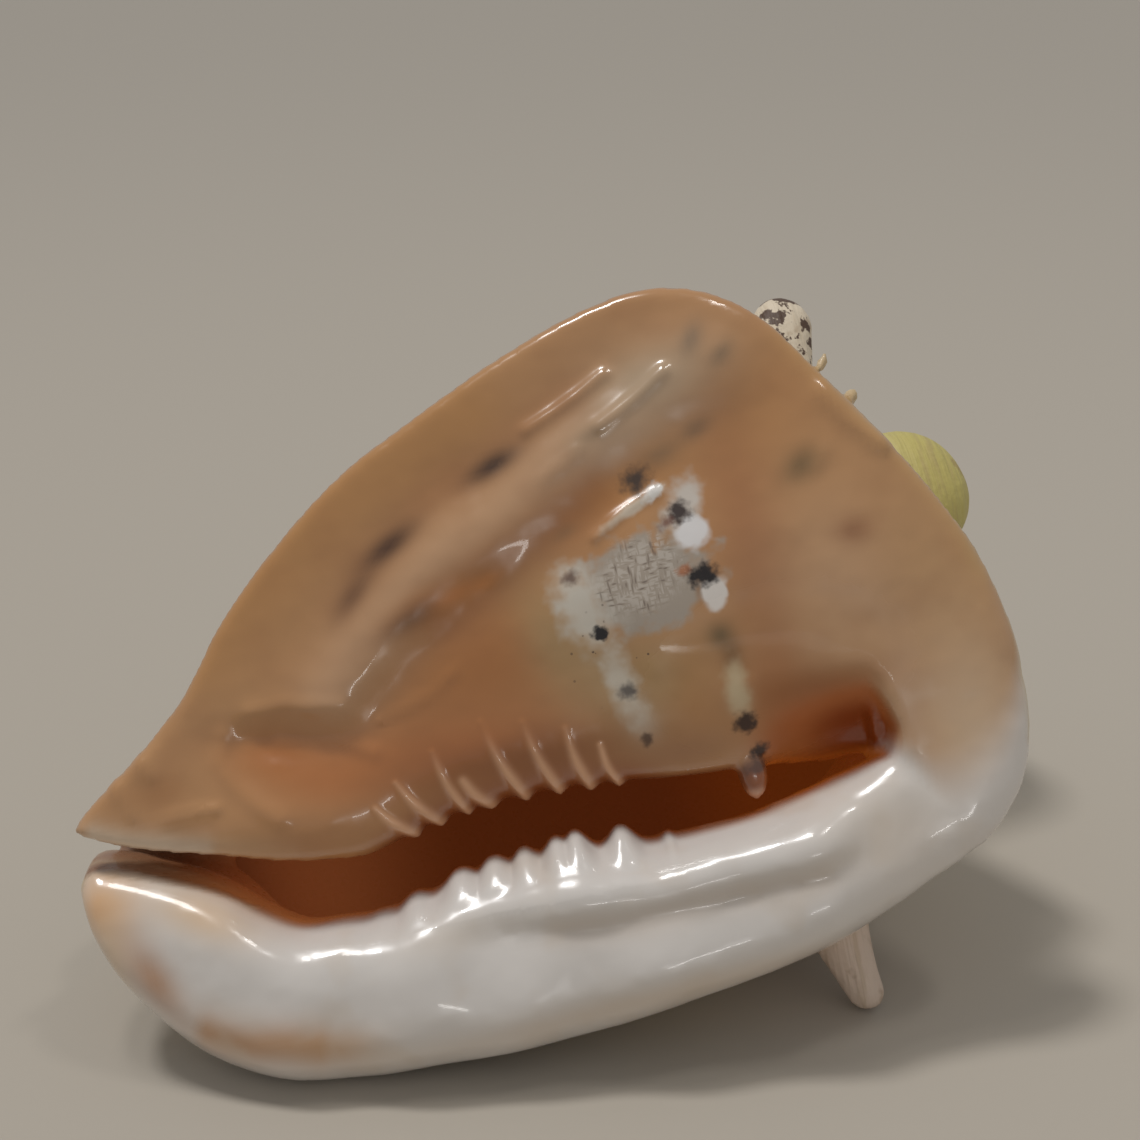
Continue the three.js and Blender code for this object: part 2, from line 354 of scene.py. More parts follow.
@dataclass(frozen=True)
class Swelling:
    """A broad rise of the shield, or a hollow when out is negative."""

    patch: Patch
    out: float


@dataclass(frozen=True)
class Cord:
    """A long rise or groove along a trail."""

    trail: Trail
    width: float
    out: float


SHIELD_EDGE = Outline((
    (0.5, -5.5), (2.2, -3), (9, 2.2), (22, 11.5), (34, 22), (47, 38), (66, 55), (83, 67), (106, 78),
    (127, 87), (149, 94), (164, 96), (178, 93), (191, 84), (203, 67), (214, 50), (225, 31),
    (232, 16), (237, -4), (238, -16),
))
SHIELD_MARGIN = Outline((
    (0.5, -5.5), (4, -7.8), (16, -13), (35, -18.5), (54, -24), (69, -26), (79, -24), (89, -21.5),
    (105, -20), (120, -20), (134, -21.5), (149, -23.5), (165, -25), (175, -27), (186, -29), (195, -29),
    (201, -30), (204, -35), (207, -44), (211, -54), (216, -56), (221.5, -53.5), (227, -48.5),
    (232, -42), (236, -31), (238, -16),
))
LIP_MARGIN = Outline((
    (-2, -18), (1, -13), (8, -14), (21, -19), (34, -26), (42, -33), (51, -39), (61, -40),
    (70, -41), (81, -39), (89, -37.5), (101, -36), (117, -34.5), (136, -37), (151, -37),
    (166, -36), (181, -33), (192, -30.5), (200, -28.5), (206, -29.5), (216, -38), (227, -46.5),
))
LIP_EDGE = Outline((
    (-2, -20), (-1.2, -32), (1.5, -42), (7, -52), (19, -66), (37, -76), (58, -80), (77, -81),
    (97, -81.5), (117, -81), (138, -78.5), (158, -76), (178, -72), (194, -66.5), (206, -61),
    (215, -57), (227, -48.5),
))
LIP_CREASE = Outline((
    (78, -47), (92, -50), (108, -52), (127, -53.5), (147, -53.5), (165, -53), (180, -52), (196, -49),
))


@dataclass(frozen=True)
class FrontFace:
    """The lie of the glossy front: the shield's callus and the lip's roll.

    Attributes:
        rest: the shield's depth where nothing swells.
        swellings: its broad rises and hollows.
        cords: its long rises and grooves.
        turn_in: how far it turns in beside the mouth.
        recess_depth: how far it sinks at the mouth's far end.
    """

    rest: float = 5.0
    turn_in: float = 6.0
    recess_depth: float = 15.0
    swellings: tuple[Swelling, ...] = (
        Swelling(Patch(150, 24, 46, 30), 7),
        Swelling(Patch(56, -14, 26, 10, -12), 4),
        Swelling(Patch(198, 22, 24, 30), 3),
        Swelling(Patch(56, 6, 17, 5, -12), -3),
        Swelling(Patch(100, -8, 34, 9, 0), 2),
        Swelling(Patch(150, 8, 12, 22, 8), 1.2),
    )
    cords: tuple[Cord, ...] = (
        Cord(Trail(((176, 74), (158, 69), (136, 59), (119, 48), (103, 41), (88, 31), (72, 17))), 11, 4),
        Cord(Trail(((152, 77), (134, 70), (119, 62), (103, 55), (92, 48), (78, 35), (70, 26))), 8, -1.5),
        Cord(Trail(((148, 50), (128, 37), (110, 28), (92, 20), (80, 10))), 7, -1.2),
    )

    def recess(self, x: np.ndarray, z: np.ndarray) -> np.ndarray:
        """How much of the recess at the mouth's far end reaches each point, from 0 to 1."""
        steep = 1 - eased(x + 0.25 * np.abs(z + 22), 200.5, 205)
        return eased(x, 157, 194) * steep * eased(-z, 3, 23)

    def shield(self, x: np.ndarray, z: np.ndarray) -> np.ndarray:
        """How deep the shield lies at each point."""
        return self.callus(x, z) + self.recess_depth * self.recess(x, z)

    def callus(self, x: np.ndarray, z: np.ndarray) -> np.ndarray:
        """How deep the shield lies but for its recess.

        Args:
            x: the points' stations.
            z: the points' heights.

        Returns:
            The depth at each point.
        """
        depth = np.full(np.shape(x), self.rest)
        for swelling in self.swellings:
            depth = depth - swelling.out * swelling.patch.cover(x, z)
        for cord in self.cords:
            depth = depth - cord.out * bell(cord.trail.near(x, z)[0], cord.width)
        from_mouth = np.maximum(z - SHIELD_MARGIN.at(x), 0)
        beside = eased(x, 40, 90) * (1 - eased(x, 180, 200))
        return depth + self.turn_in * beside * np.exp(-from_mouth / 7)

    def lip(self, x: np.ndarray, z: np.ndarray) -> np.ndarray:
        """How deep the lip's roll lies: rounded from the mouth, creased, curled back.

        Args:
            x: the points' stations.
            z: the points' heights.

        Returns:
            The depth at each point.
        """
        inner, outer = LIP_MARGIN.at(x), LIP_EDGE.at(x)
        across = np.clip((inner - z) / np.maximum(inner - outer, 1), 0, 1)
        crest = -2 + 6 * (1 - eased(x, 0, 45))
        sway = 0.7 * np.sin(x / 8.5 + z / 14) + 0.5 * np.sin(x / 5.1 - z / 9 + 2)
        crest = crest + sway * eased(x, 30, 60)
        roll = crest + 9 * np.clip(1 - across / 0.42, 0, 1) ** 2.2
        roll = roll + 5 * np.clip((across - 0.5) / 0.5, 0, 1) ** 2.6
        line = z - LIP_CREASE.at(x)
        present = eased(x, 78, 108) * (1 - eased(x, 176, 198))
        crease = 1.7 * bell(line, 3.4) - 1.2 * bell(line - 8, 5.5) + 1.6 * bell(line + 3, 9)
        roll = roll + present * crease
        end = eased(x, 176, 207)
        return roll * (1 - end) + self.callus(x, z) * end


FRONT = FrontFace()


def slab(
    name: str,
    lower: Outline,
    upper: Outline,
    front: Callable[[np.ndarray, np.ndarray], np.ndarray],
    back: Callable[[np.ndarray, np.ndarray], np.ndarray],
    rims: tuple[Outline, Outline],
    grid: tuple[int, int],
) -> bpy.types.Object:
    """Fills the space between two edges with a sheet that has rounded rims.

    Args:
        name: the new object's name.
        lower: its lower edge.
        upper: its upper edge.
        front: gives the depth of its front.
        back: gives the depth of its back.
        rims: how far in the lower and upper rims are rounded, station by station.
        grid: the divisions round it and along it.

    Returns:
        The closed object.
    """
    first, last = lower.points[0][0], lower.points[-1][0]
    lower_rim, upper_rim = Trail(lower.points), Trail(upper.points)

    def place(turn: np.ndarray, rise: np.ndarray) -> np.ndarray:
        """Spreads the ball between the edges.

        Args:
            turn: the turn round the ball, in radians.
            rise: the rise between its poles, in radians.

        Returns:
            The places, one row each.
        """
        x = first + (last - first) * (0.5 + 0.5 * np.sin(rise))
        low, high = lower.at(x), upper.at(x)
        z = (low + high) / 2 + (high - low) / 2 * np.cos(turn)
        thin = 1 - rounding(lower_rim.near(x, z)[0], rims[0].at(x))
        thinner = 1 - rounding(upper_rim.near(x, z)[0], rims[1].at(x))
        share = np.clip(1 - np.hypot(thin, thinner), 0, 1)
        share = share * np.abs(np.sign(np.round(np.sin(turn), 6)))
        near, far = front(x, z), back(x, z)
        y = (near + far) / 2 - np.sign(np.sin(turn)) * share * (far - near) / 2
        return np.stack([x, y, z], axis=1)

    return moulded(name, grid[0], grid[1], place)


@dataclass(frozen=True)
class Shield:
    """The broad flange of callus that faces forwards."""

    thickness: float = 6.0
    roll: float = 9.0
    free_rim: Outline = Outline(((-2, 2.6), (20, 3.2), (200, 3.2), (222, 4.5), (234, 9), (240, 11)))
    mouth_rim: Outline = Outline(((-2, 2.4), (30, 5), (198, 5), (212, 11), (240, 13)))

    def back(self, x: np.ndarray, z: np.ndarray) -> np.ndarray:
        """The depth of the flange's back, which thickens into a roll round the far end."""
        return FRONT.shield(x, z) + self.thickness + self.roll * eased(x, 200, 226) * eased(-z, -36, 16)

    def build(self) -> bpy.types.Object:
        """Models the flange.

        Returns:
            The flange.
        """
        return slab(
            "shield", SHIELD_MARGIN, SHIELD_EDGE, FRONT.shield, self.back,
            (self.mouth_rim, self.free_rim), (236, 190),
        )


@dataclass(frozen=True)
class Tooth:
    """One tooth on the lip's inner edge: its station, half width and how far it stands up."""

    x: float
    half: float
    up: float


@dataclass(frozen=True)
class Lip:
    """The thick roll along the bottom, with teeth on its inner edge."""

    thickness: float = 20.0
    outer_rim: Outline = Outline(((-4, 5), (6, 8), (30, 13), (200, 13), (228, 11)))
    mouth_rim: Outline = Outline(((-4, 4), (6, 6), (30, 9), (200, 9), (228, 9)))
    teeth: tuple[Tooth, ...] = (
        Tooth(70, 2.8, 0.6), Tooth(78.5, 3.2, 1.7), Tooth(90.6, 4.0, 2.9), Tooth(99.2, 3.7, 3.1),
        Tooth(107.0, 2.9, 2.7), Tooth(115.6, 3.0, 3.1), Tooth(120.6, 3.2, 3.9), Tooth(132.0, 3.6, 4.5),
        Tooth(143.2, 1.5, 1.0),
    )

    def build(self) -> bpy.types.Object:
        """Models the roll.

        Returns:
            The roll.
        """
        return slab(
            "lip", LIP_EDGE, LIP_MARGIN, FRONT.lip,
            lambda x, z: FRONT.lip(x, z) + self.thickness - 5 * eased(x, 194, 216),
            (self.outer_rim, self.mouth_rim), (150, 190),
        )

    def scallop(self, x: np.ndarray) -> np.ndarray:
        """How far the inner edge stands up in teeth at each station.

        Args:
            x: the points' stations.

        Returns:
            The rise at each station.
        """
        up = np.zeros(np.shape(x))
        for tooth in self.teeth:
            up = up + (tooth.up * np.exp(-np.abs((x - tooth.x) / tooth.half) ** 2.4)) ** 3
        return np.cbrt(up)


# The whorls behind it ------------------------------------------------------------------------


@dataclass(frozen=True)
class BodyWhorl:
    """The last and largest whorl, which swells out to the lip's back.

    Attributes:
        rows: stations along the axis, each with its centre's depth and height and its radius.
        start: the share of its full radius it begins with beside the mouth.
        rise: how far it begins towards the spire.
        flare: the angle from which it swells out to the lip, in degrees.
    """

    rows: tuple[tuple[float, float, float, float], ...] = (
        (0.5, 33, -13, 0), (2, 33, -13, 7), (6, 33, -12.5, 13.5), (15, 33, -11, 20), (30, 37, -9, 26),
        (60, 46, -4, 37), (90, 51, -1, 47), (120, 52, 0, 57), (150, 52, 0, 66), (172, 52, 0, 70.5),
        (185, 52, 0, 71), (195, 52, 0, 66), (204, 52, 0, 54), (212, 52, 0, 42), (216, 52, 0, 30),
        (218, 52, 0, 12), (218.5, 52, 0, 0),
    )
    start: float = 0.78
    rise: float = 9.0
    flare: float = 70.0

    @cached_property
    def depths(self) -> Outline:
        """The depth of the centre at each station."""
        return Outline(tuple((row[0], row[1]) for row in self.rows))

    @cached_property
    def heights(self) -> Outline:
        """The height of the centre at each station."""
        return Outline(tuple((row[0], row[2]) for row in self.rows))

    @cached_property
    def radii(self) -> Outline:
        """The radius at each station."""
        return Outline(tuple((row[0], row[3]) for row in self.rows))

    def behind(self, angle: np.ndarray) -> np.ndarray:
        """How far back along its growth the whorl is at an angle, from 0 to 1."""
        turned = np.mod(angle, 360)
        return np.where(turned > 300, 1 - (turned - 300) / 60, turned / 300)

    def radius(self, x: np.ndarray, angle: np.ndarray) -> np.ndarray:
        """The whorl's radius at a station and an angle about the axis, in degrees.

        Args:
            x: the points' stations.
            angle: the angle about the axis, in degrees.

        Returns:
            The radius at each point.
        """
        depth, side = self.depths.at(x), self.heights.at(x)
        plain = np.maximum(self.radii.at(x), 0) * (1 - (1 - self.start) * self.behind(angle))
        signed = np.mod(angle + 90, 360) - 90
        reach = side - LIP_EDGE.at(np.clip(x, 0, 214)) - 6
        lip_angle = np.degrees(np.arctan2(12 - depth, reach))
        at_lip = np.maximum(np.hypot(12 - depth, reach), plain)
        share = np.clip((self.flare - signed) / (self.flare - lip_angle), 0, 1)
        swollen = plain + (at_lip - plain) * share**1.7 * (1 - eased(x, 195, 216))
        shy = 0.45 + 0.55 * eased(x, 0, 26)
        swollen = plain + (swollen - plain) * shy
        below = plain + (reach / np.cos(np.radians(np.clip(signed, -80, 80))) - plain) * shy
        radius = np.where(signed > self.flare, plain, np.where(signed < lip_angle, below, swollen))
        return np.where(self.radii.at(x) < 0.01, 0, radius)

    def about(self, x: np.ndarray, angle: np.ndarray, radius: np.ndarray) -> np.ndarray:
        """The points at a station, an angle in degrees and a radius about the axis.

        Args:
            x: the points' stations.
            angle: the angle about the axis, in degrees.
            radius: the distance from the axis.

        Returns:
            The points, one row each.
        """
        turn = np.radians(angle)
        y = self.depths.at(x) + radius * np.sin(turn)
        return np.stack([x + 0 * y, y, self.heights.at(x) - radius * np.cos(turn)], axis=-1)

    def inner_front(self, x: np.ndarray, z: np.ndarray) -> np.ndarray:
        """The depth at which the whorl's own front is lost in the front face."""
        in_lip = 1 - eased(z, -40, -28)
        return in_lip * (FRONT.lip(x, z) + 7) + (1 - in_lip) * (FRONT.shield(x, z) + 4.5)

    def build(self) -> bpy.types.Object:
        """Models the whorl.

        Returns:
            The whorl.
        """
        first, last = self.rows[0][0], self.rows[-1][0]

        def place(turn: np.ndarray, rise: np.ndarray) -> np.ndarray:
            """Winds the ball round the axis.

            Args:
                turn: the turn round the ball, in radians.
                rise: the rise between its poles, in radians.

            Returns:
                The places, one row each.
            """
            angle = np.degrees(turn)
            station = first + (last - first) * (0.5 + 0.5 * np.sin(rise))
            spots = self.about(station, angle, self.radius(station, angle))
            late = eased(station, 60, 150)
            spots[:, 0] += self.rise * self.behind(angle) * late * np.cos(rise)
            spots[:, 1] = np.maximum(spots[:, 1], self.inner_front(spots[:, 0], spots[:, 2]))
            return spots

        return moulded("body_whorl", 240, 170, place)


WHORL = BodyWhorl()
AXIS_DEPTH = 52.0
SHOULDER = 196.0


@dataclass(frozen=True)
class Spire:
    """The short stepped spire, wound in a helix and leaning towards the front.

    Attributes:
        foot: the station it starts from.
        length: how far it reaches along the axis.
        lean: how far its tip stands behind the axis.
        step: how far each ledge stands out, as a share of the radius.
        envelope: its radius, station by station.
        turns: how many times it has wound round, station by station.
    """

    foot: float = 198.0
    length: float = 44.6
    lean: float = -10.0
    step: float = 0.2
    envelope: Outline = Outline((
        (196, 43), (203, 41), (211, 36), (218, 29), (226, 21.5), (233, 14), (238, 7.5), (241, 3.4),
        (242.6, 0),
    ))
    turns: Outline = Outline((
        (190, -1.3), (197, -0.9), (211, 0), (221, 1), (229, 2), (235, 3), (239, 4), (243, 5),
    ))

    def build(self) -> bpy.types.Object:
        """Models the spire.

        Returns:
            The spire.
        """

        def place(turn: np.ndarray, rise: np.ndarray) -> np.ndarray:
            """Winds the ball up the spire.

            Args:
                turn: the turn round the ball, in radians.
                rise: the rise between its poles, in radians.

            Returns:
                The places, one row each.
            """
            x = self.foot + self.length * (0.5 + 0.5 * np.sin(rise))
            phase = np.mod(self.turns.at(x) - turn / (2 * math.pi), 1.0)
            ledge = 1 + self.step * (eased(phase, 0, 0.12) * (1 - phase) ** 1.3 - 0.35)
            radius = self.envelope.at(x) * ledge * np.minimum(1, 5 * np.cos(rise))
            lean = self.lean * eased(x, 205, 242)
            y = AXIS_DEPTH + lean + radius * np.sin(turn)
            return np.stack([x, y, -radius * np.cos(turn)], axis=1)

        return moulded("spire", 96, 120, place)


@dataclass(frozen=True)
class Horn:
    """One blunt horn on the shoulder, from a flared root to its tip.

    Attributes:
        name: what it is called while it is made.
        tip: where it ends.
        root: its radius at the root.
        end: its radius at the tip.
        bend: how far its middle sways along the axis.
        tone: its colour.
    """

    name: str
    tip: tuple[float, float, float]
    root: float
    end: float
    bend: float = 0.0
    tone: Colour = (222, 206, 182)

    def build(self) -> bpy.types.Object:
        """Models the horn.

        Returns:
            The horn.
        """
        top = Vector(self.tip)
        outward = Vector((0, top.y - AXIS_DEPTH, top.z))
        sunk = min(outward.length - 18, 54)
        foot = Vector((min(top.x, SHOULDER) - 6, AXIS_DEPTH, 0)) + sunk * outward.normalized()
        axis = top - foot
        length = axis.length
        turned = np.array(axis.to_track_quat("Z", "Y").to_matrix())

        def place(turn: np.ndarray, rise: np.ndarray) -> np.ndarray:
            """Draws the ball out along the horn.

            Args:
                turn: the turn round the ball, in radians.
                rise: the rise between its poles, in radians.

            Returns:
                The places, one row each.
            """
            share = 0.5 + 0.5 * np.sin(rise)
            up = length * share
            radius = self.end + (self.root - self.end) * (1 - share) ** 1.5
            radius = radius * rounding(length - up, self.end) * rounding(up, 0.55 * self.root)
            radius = radius * (1 + 0.05 * np.cos(3 * turn + 1) * eased(share, 0, 0.4))
            sway = self.bend * np.sin(math.pi * share)
            here = np.stack([radius * np.cos(turn) + sway, radius * np.sin(turn), up], axis=1)
            return here @ turned.T + np.array(foot)

        return moulded(self.name, 40, 36, place)


@dataclass(frozen=True)
class Bump:
    """A rounded knob: its centre, the way it points, its size, and how peaked it is."""

    name: str
    centre: tuple[float, float, float]
    outward: tuple[float, float, float]
    radius: float
    height: float
    peak: float = 1.0

    def build(self) -> bpy.types.Object:
        """Models the knob.

        Returns:
            The knob.
        """
        turned = np.array(Vector(self.outward).to_track_quat("Z", "Y").to_matrix())

        def place(turn: np.ndarray, rise: np.ndarray) -> np.ndarray:
            """Flattens the ball and points it outwards.

            Args:
                turn: the turn round the ball, in radians.
                rise: the rise between its poles, in radians.

            Returns:
                The places, one row each.
            """
            wide = self.radius * np.cos(rise)
            up = self.height * np.sign(rise) * np.abs(np.sin(rise)) ** self.peak
            here = np.stack([wide * np.cos(turn), wide * np.sin(turn), up], axis=1)
            return here @ turned.T + np.array(self.centre)

        return moulded(self.name, 28, 20, place)


@dataclass(frozen=True)
class KnobRow:
    """A row of knobs round the body whorl."""

    station: float
    first: float
    last: float
    count: int
    radius: float
    height: float
    sunk: float = 2.0
    peak: float = 2.2

    def build(self) -> list[bpy.types.Object]:
        """Models every knob in the row.

        Returns:
            The knobs, in order round the whorl.
        """
        made = []
        for angle in np.linspace(self.first, self.last, self.count):
            here, turn = np.array([self.station]), np.array([angle])
            spot = WHORL.about(here, turn, WHORL.radius(here, turn) - self.sunk)[0]
            spot[0] += float(WHORL.rise * WHORL.behind(turn)[0])
            away = (0.0, float(spot[1]) - AXIS_DEPTH, float(spot[2]))
            centre = tuple(map(float, spot))
            bump = Bump("knob", centre, away, self.radius, self.height + self.sunk, self.peak)
            made.append(bump.build())
        return made


# The open space ------------------------------------------------------------------------------


@dataclass(frozen=True)
class Mouth:
    """The long slit between the shield and the lip."""

    overhang: float = 3.0
    front: float = 6.0
    rim: Outline = Outline(((-20, 2), (210, 2)))
    depths: Outline = Outline(((-14, 40), (0, 38), (15, 36), (40, 42), (70, 52), (180, 52), (208, 40)))

    def build(self) -> bpy.types.Object:
        """Models the slit as a solid to cut away.

        Returns:
            The solid.
        """
        high = SHIELD_MARGIN.moved(self.overhang, 3, 197)
        low = LIP_MARGIN.moved(-self.overhang, 3, 201)
        upper = Outline(((-14, -4), *high.points, (205, -27)))
        lower = Outline(((-14, -16), *low.points, (205, -33)))
        return slab(
            "mouth", lower, upper, lambda x, z: self.front + 0 * x,
            lambda x, z: self.depths.at(x), (self.rim, self.rim), (120, 150),
        )


@dataclass(frozen=True)
class Hollow:
    """The chamber that winds from the mouth round behind the pillar.

    Attributes:
        wall: the thickness of the shell's wall round it.
        first: the angle it starts from, in degrees.
        last: the angle it ends at.
        middle: the station of its middle.
        reach: how far it goes to either side of that.
    """

    wall: float = 4.5
    first: float = -62.0
    last: float = 215.0
    middle: float = 114.0
    reach: float = 93.0

    def build(self) -> bpy.types.Object:
        """Models the chamber as a solid to cut away.

        Returns:
            The solid.
        """

        def place(turn: np.ndarray, rise: np.ndarray) -> np.ndarray:
            """Bends the ball round the pillar.

            Args:
                turn: the turn round the ball, in radians.
                rise: the rise between its poles, in radians.

            Returns:
                The places, one row each.
            """
            angle = self.first + (self.last - self.first) * (0.5 + rise / math.pi)
            taper = np.clip(np.cos(rise), 0, 1) ** 0.33
            station = self.middle + self.reach * taper * np.cos(turn)
            wall = self.wall + 7 * eased(-angle, -20, 30) + 2 * eased(angle, 170, 250)
            outside = np.maximum(WHORL.radius(station, angle) - wall, 9)
            pillar = np.minimum(6 + 8 * eased(station, 120, 190), outside - 2)
            half = (outside - pillar) / 2 * taper
            side = np.sign(np.sin(turn)) * np.abs(np.sin(turn)) ** 0.45
            spots = WHORL.about(station, angle, (outside + pillar) / 2 + half * side)
            spots[:, 1] = np.maximum(spots[:, 1], 16)
            return spots

        return moulded("hollow", 120, 90, place)


# The fine relief -----------------------------------------------------------------------------


@dataclass(frozen=True)
class Fold:
    """A fine ridge on the front: where it starts and ends, and how it thickens."""

    start: tuple[float, float]
    end: tuple[float, float]
    thin: float = 0.8
    thick: float = 1.7
    low: float = 0.25
    high: float = 1.5
    bow: float = 0.8

    @cached_property
    def trail(self) -> Trail:
        """The ridge's path, bowed a little to one side."""
        (x0, z0), (x1, z1) = self.start, self.end
        return Trail((self.start, ((x0 + x1) / 2 - self.bow, (z0 + z1) / 2), self.end))

    def rise(self, x: np.ndarray, z: np.ndarray) -> tuple[np.ndarray, np.ndarray]:
        """How far each point is lifted, and how much of the ridge covers it.

        Args:
            x: the points' stations.
            z: the points' heights.

        Returns:
            The lift in millimetres and the cover from 0 to 1, at each point.
        """
        gap, share = self.trail.near(x, z)
        width = self.thin + (self.thick - self.thin) * share
        cover = bell(gap, width)
        return cover * (self.low + (self.high - self.low) * share**1.3), cover


@dataclass(frozen=True)
class Relief:
    """The fine relief of the front.

    Attributes:
        folds: the ridges on the pillar, beside the mouth.
        streaks: narrow rises on the shield.
        ripple: how far each tooth carries on down the lip, as a share of its height.
    """

    folds: tuple[Fold, ...] = (
        Fold((75.0, -14.5), (82.3, -23.0)),
        Fold((81.0, -9.5), (89.2, -22.0), high=1.7),
        Fold((91.2, -4.0), (96.2, -20.8), thick=1.4, high=1.3),
        Fold((97.0, -12.5), (102.2, -20.6), thin=1.2, thick=1.9, high=1.6),
        Fold((104.2, 0.6), (111.0, -20.2), high=1.7),
        Fold((114.2, -1.5), (119.6, -20.8), high=1.8),
        Fold((124.0, -5.0), (127.2, -21.2), high=1.7),
        Fold((131.4, -10.8), (134.2, -21.9), thick=1.3, high=1.2),
    )
    streaks: tuple[Cord, ...] = (
        Cord(Trail(((140.7, 38.6), (147.9, 43.0), (157.4, 46.6))), 1.5, 1.0),
        Cord(Trail(((80.4, 6.3), (93.5, 9.7), (100.7, 14.3))), 1.1, 0.5),
        Cord(Trail(((50, 14.6), (57, 14.9), (63, 13.6), (72, 11.6))), 2.3, 0.8),
        Cord(Trail(((55, 6), (62, 4.6), (70, 3), (77, -1))), 2.4, 0.7),
        Cord(Trail(((42, 10), (40.5, 4), (43, -2), (48, -8), (52, -12))), 2.6, 0.9),
        Cord(Trail(((25, -6.8), (31, -6.2), (37, -6.6))), 1.6, 0.9),
        Cord(Trail(((14, 3), (15.5, -1), (16.5, -4))), 1.8, 0.9),
        Cord(Trail(((21, 8), (23, 4))), 1.6, 0.8),
        Cord(Trail(((130, 67.5), (140, 71.5), (151, 77))), 1.8, 1.3),
        Cord(Trail(((147, 64.5), (156, 69), (165, 74.5))), 1.8, 1.2),
        Cord(Trail(((131, 55), (141, 60))), 1.7, 0.7),
        Cord(Trail(((202, 62), (207, 54), (213, 46))), 2.2, 1.3),
        Cord(Trail(((196, 44), (199, 48))), 1.6, 0.7),
    )
    ripple: float = 0.12

    def folds_at(self, x: np.ndarray, z: np.ndarray) -> tuple[np.ndarray, np.ndarray]:
        """The folds' height and cover at each point.

        Args:
            x: the points' stations.
            z: the points' heights.

        Returns:
            The height in millimetres and the cover from 0 to 1.
        """
        height, cover = np.zeros(np.shape(x)), np.zeros(np.shape(x))
        for fold in self.folds:
            rise, over = fold.rise(x, z)
            height, cover = np.maximum(height, rise), np.maximum(cover, over)
        return height, cover

    def lift(self, spots: np.ndarray) -> np.ndarray:
        """How far each point of the shell is lifted along its normal.

        Args:
            spots: the points, in the shell's frame.

        Returns:
            The lift in millimetres, one value a point.
        """
        x, y, z = spots.T
        on_shield = (1 - eased(y, 15, 20)) * eased(z - SHIELD_MARGIN.at(x), -4.5, -2)
        height = self.folds_at(x, np.maximum(z, SHIELD_MARGIN.at(x) - 0.5))[0] * on_shield
        for streak in self.streaks:
            height = height + streak.out * bell(streak.trail.near(x, z)[0], streak.width) * on_shield
        on_lip = (1 - eased(y, 14, 22)) * (1 - eased(z, -35, -30))
        below = LIP_MARGIN.at(x) - z
        for tooth in Lip().teeth:
            runs = eased(below, -1, 4) * (1 - eased(below, 5, 12))
            ridge = bell(x - tooth.x + 0.1 * below, 1.3 * tooth.half)
            height = height + self.ripple * tooth.up * ridge * runs * on_lip
        return height

    def pull(self, spots: np.ndarray) -> np.ndarray:
        """Pulls the lip's inner edge up into teeth.

        Args:
            spots: the points, in the shell's frame.

        Returns:
            The points, with the edge scalloped.
        """
        x, y, z = spots.T
        below = LIP_MARGIN.at(x) - z
        reach = (1 - eased(below, 0.5, 6)) * eased(below, -3, -0.5) * (1 - eased(y, 24, 34))
        up = Lip().scallop(x) * reach
        moved = spots.copy()
        moved[:, 2] += up
        moved[:, 1] -= 0.3 * up
        return moved


# Paint ---------------------------------------------------------------------------------------


def linear(colour: Colour) -> np.ndarray:
    """A colour given in everyday 0 to 255 steps, as light."""
    part = np.array(colour, float) / 255
    return np.where(part <= 0.04045, part / 12.92, ((part + 0.055) / 1.055) ** 2.4)


@dataclass(frozen=True)
class Wash:
    """A soft oval of colour laid over what is there."""

    patch: Patch
    colour: Colour
    strength: float = 0.8

    def cover(self, x: np.ndarray, z: np.ndarray) -> np.ndarray:
        """How much of the wash reaches each point."""
        return self.strength * self.patch.cover(x, z)


@dataclass(frozen=True)
class Stripe:
    """A soft band of colour along a trail."""

    trail: Trail
    width: float
    colour: Colour
    strength: float = 0.8

    def cover(self, x: np.ndarray, z: np.ndarray) -> np.ndarray:
        """How much of the band reaches each point.

        Args:
            x: the points' stations.
            z: the points' heights.

        Returns:
            The cover at each point, from 0 to 1.
        """
        gap, share = self.trail.near(x, z)
        ends = np.clip(8 * np.minimum(share, 1 - share) + 0.25, 0, 1)
        return self.strength * bell(gap, self.width) * ends


def lay(under: np.ndarray, colour: Colour, cover: np.ndarray) -> np.ndarray:
    """Lays a colour over the colours there, by its cover at each point."""
    share = np.clip(cover, 0, 1)[:, None]
    return under * (1 - share) + linear(colour) * share


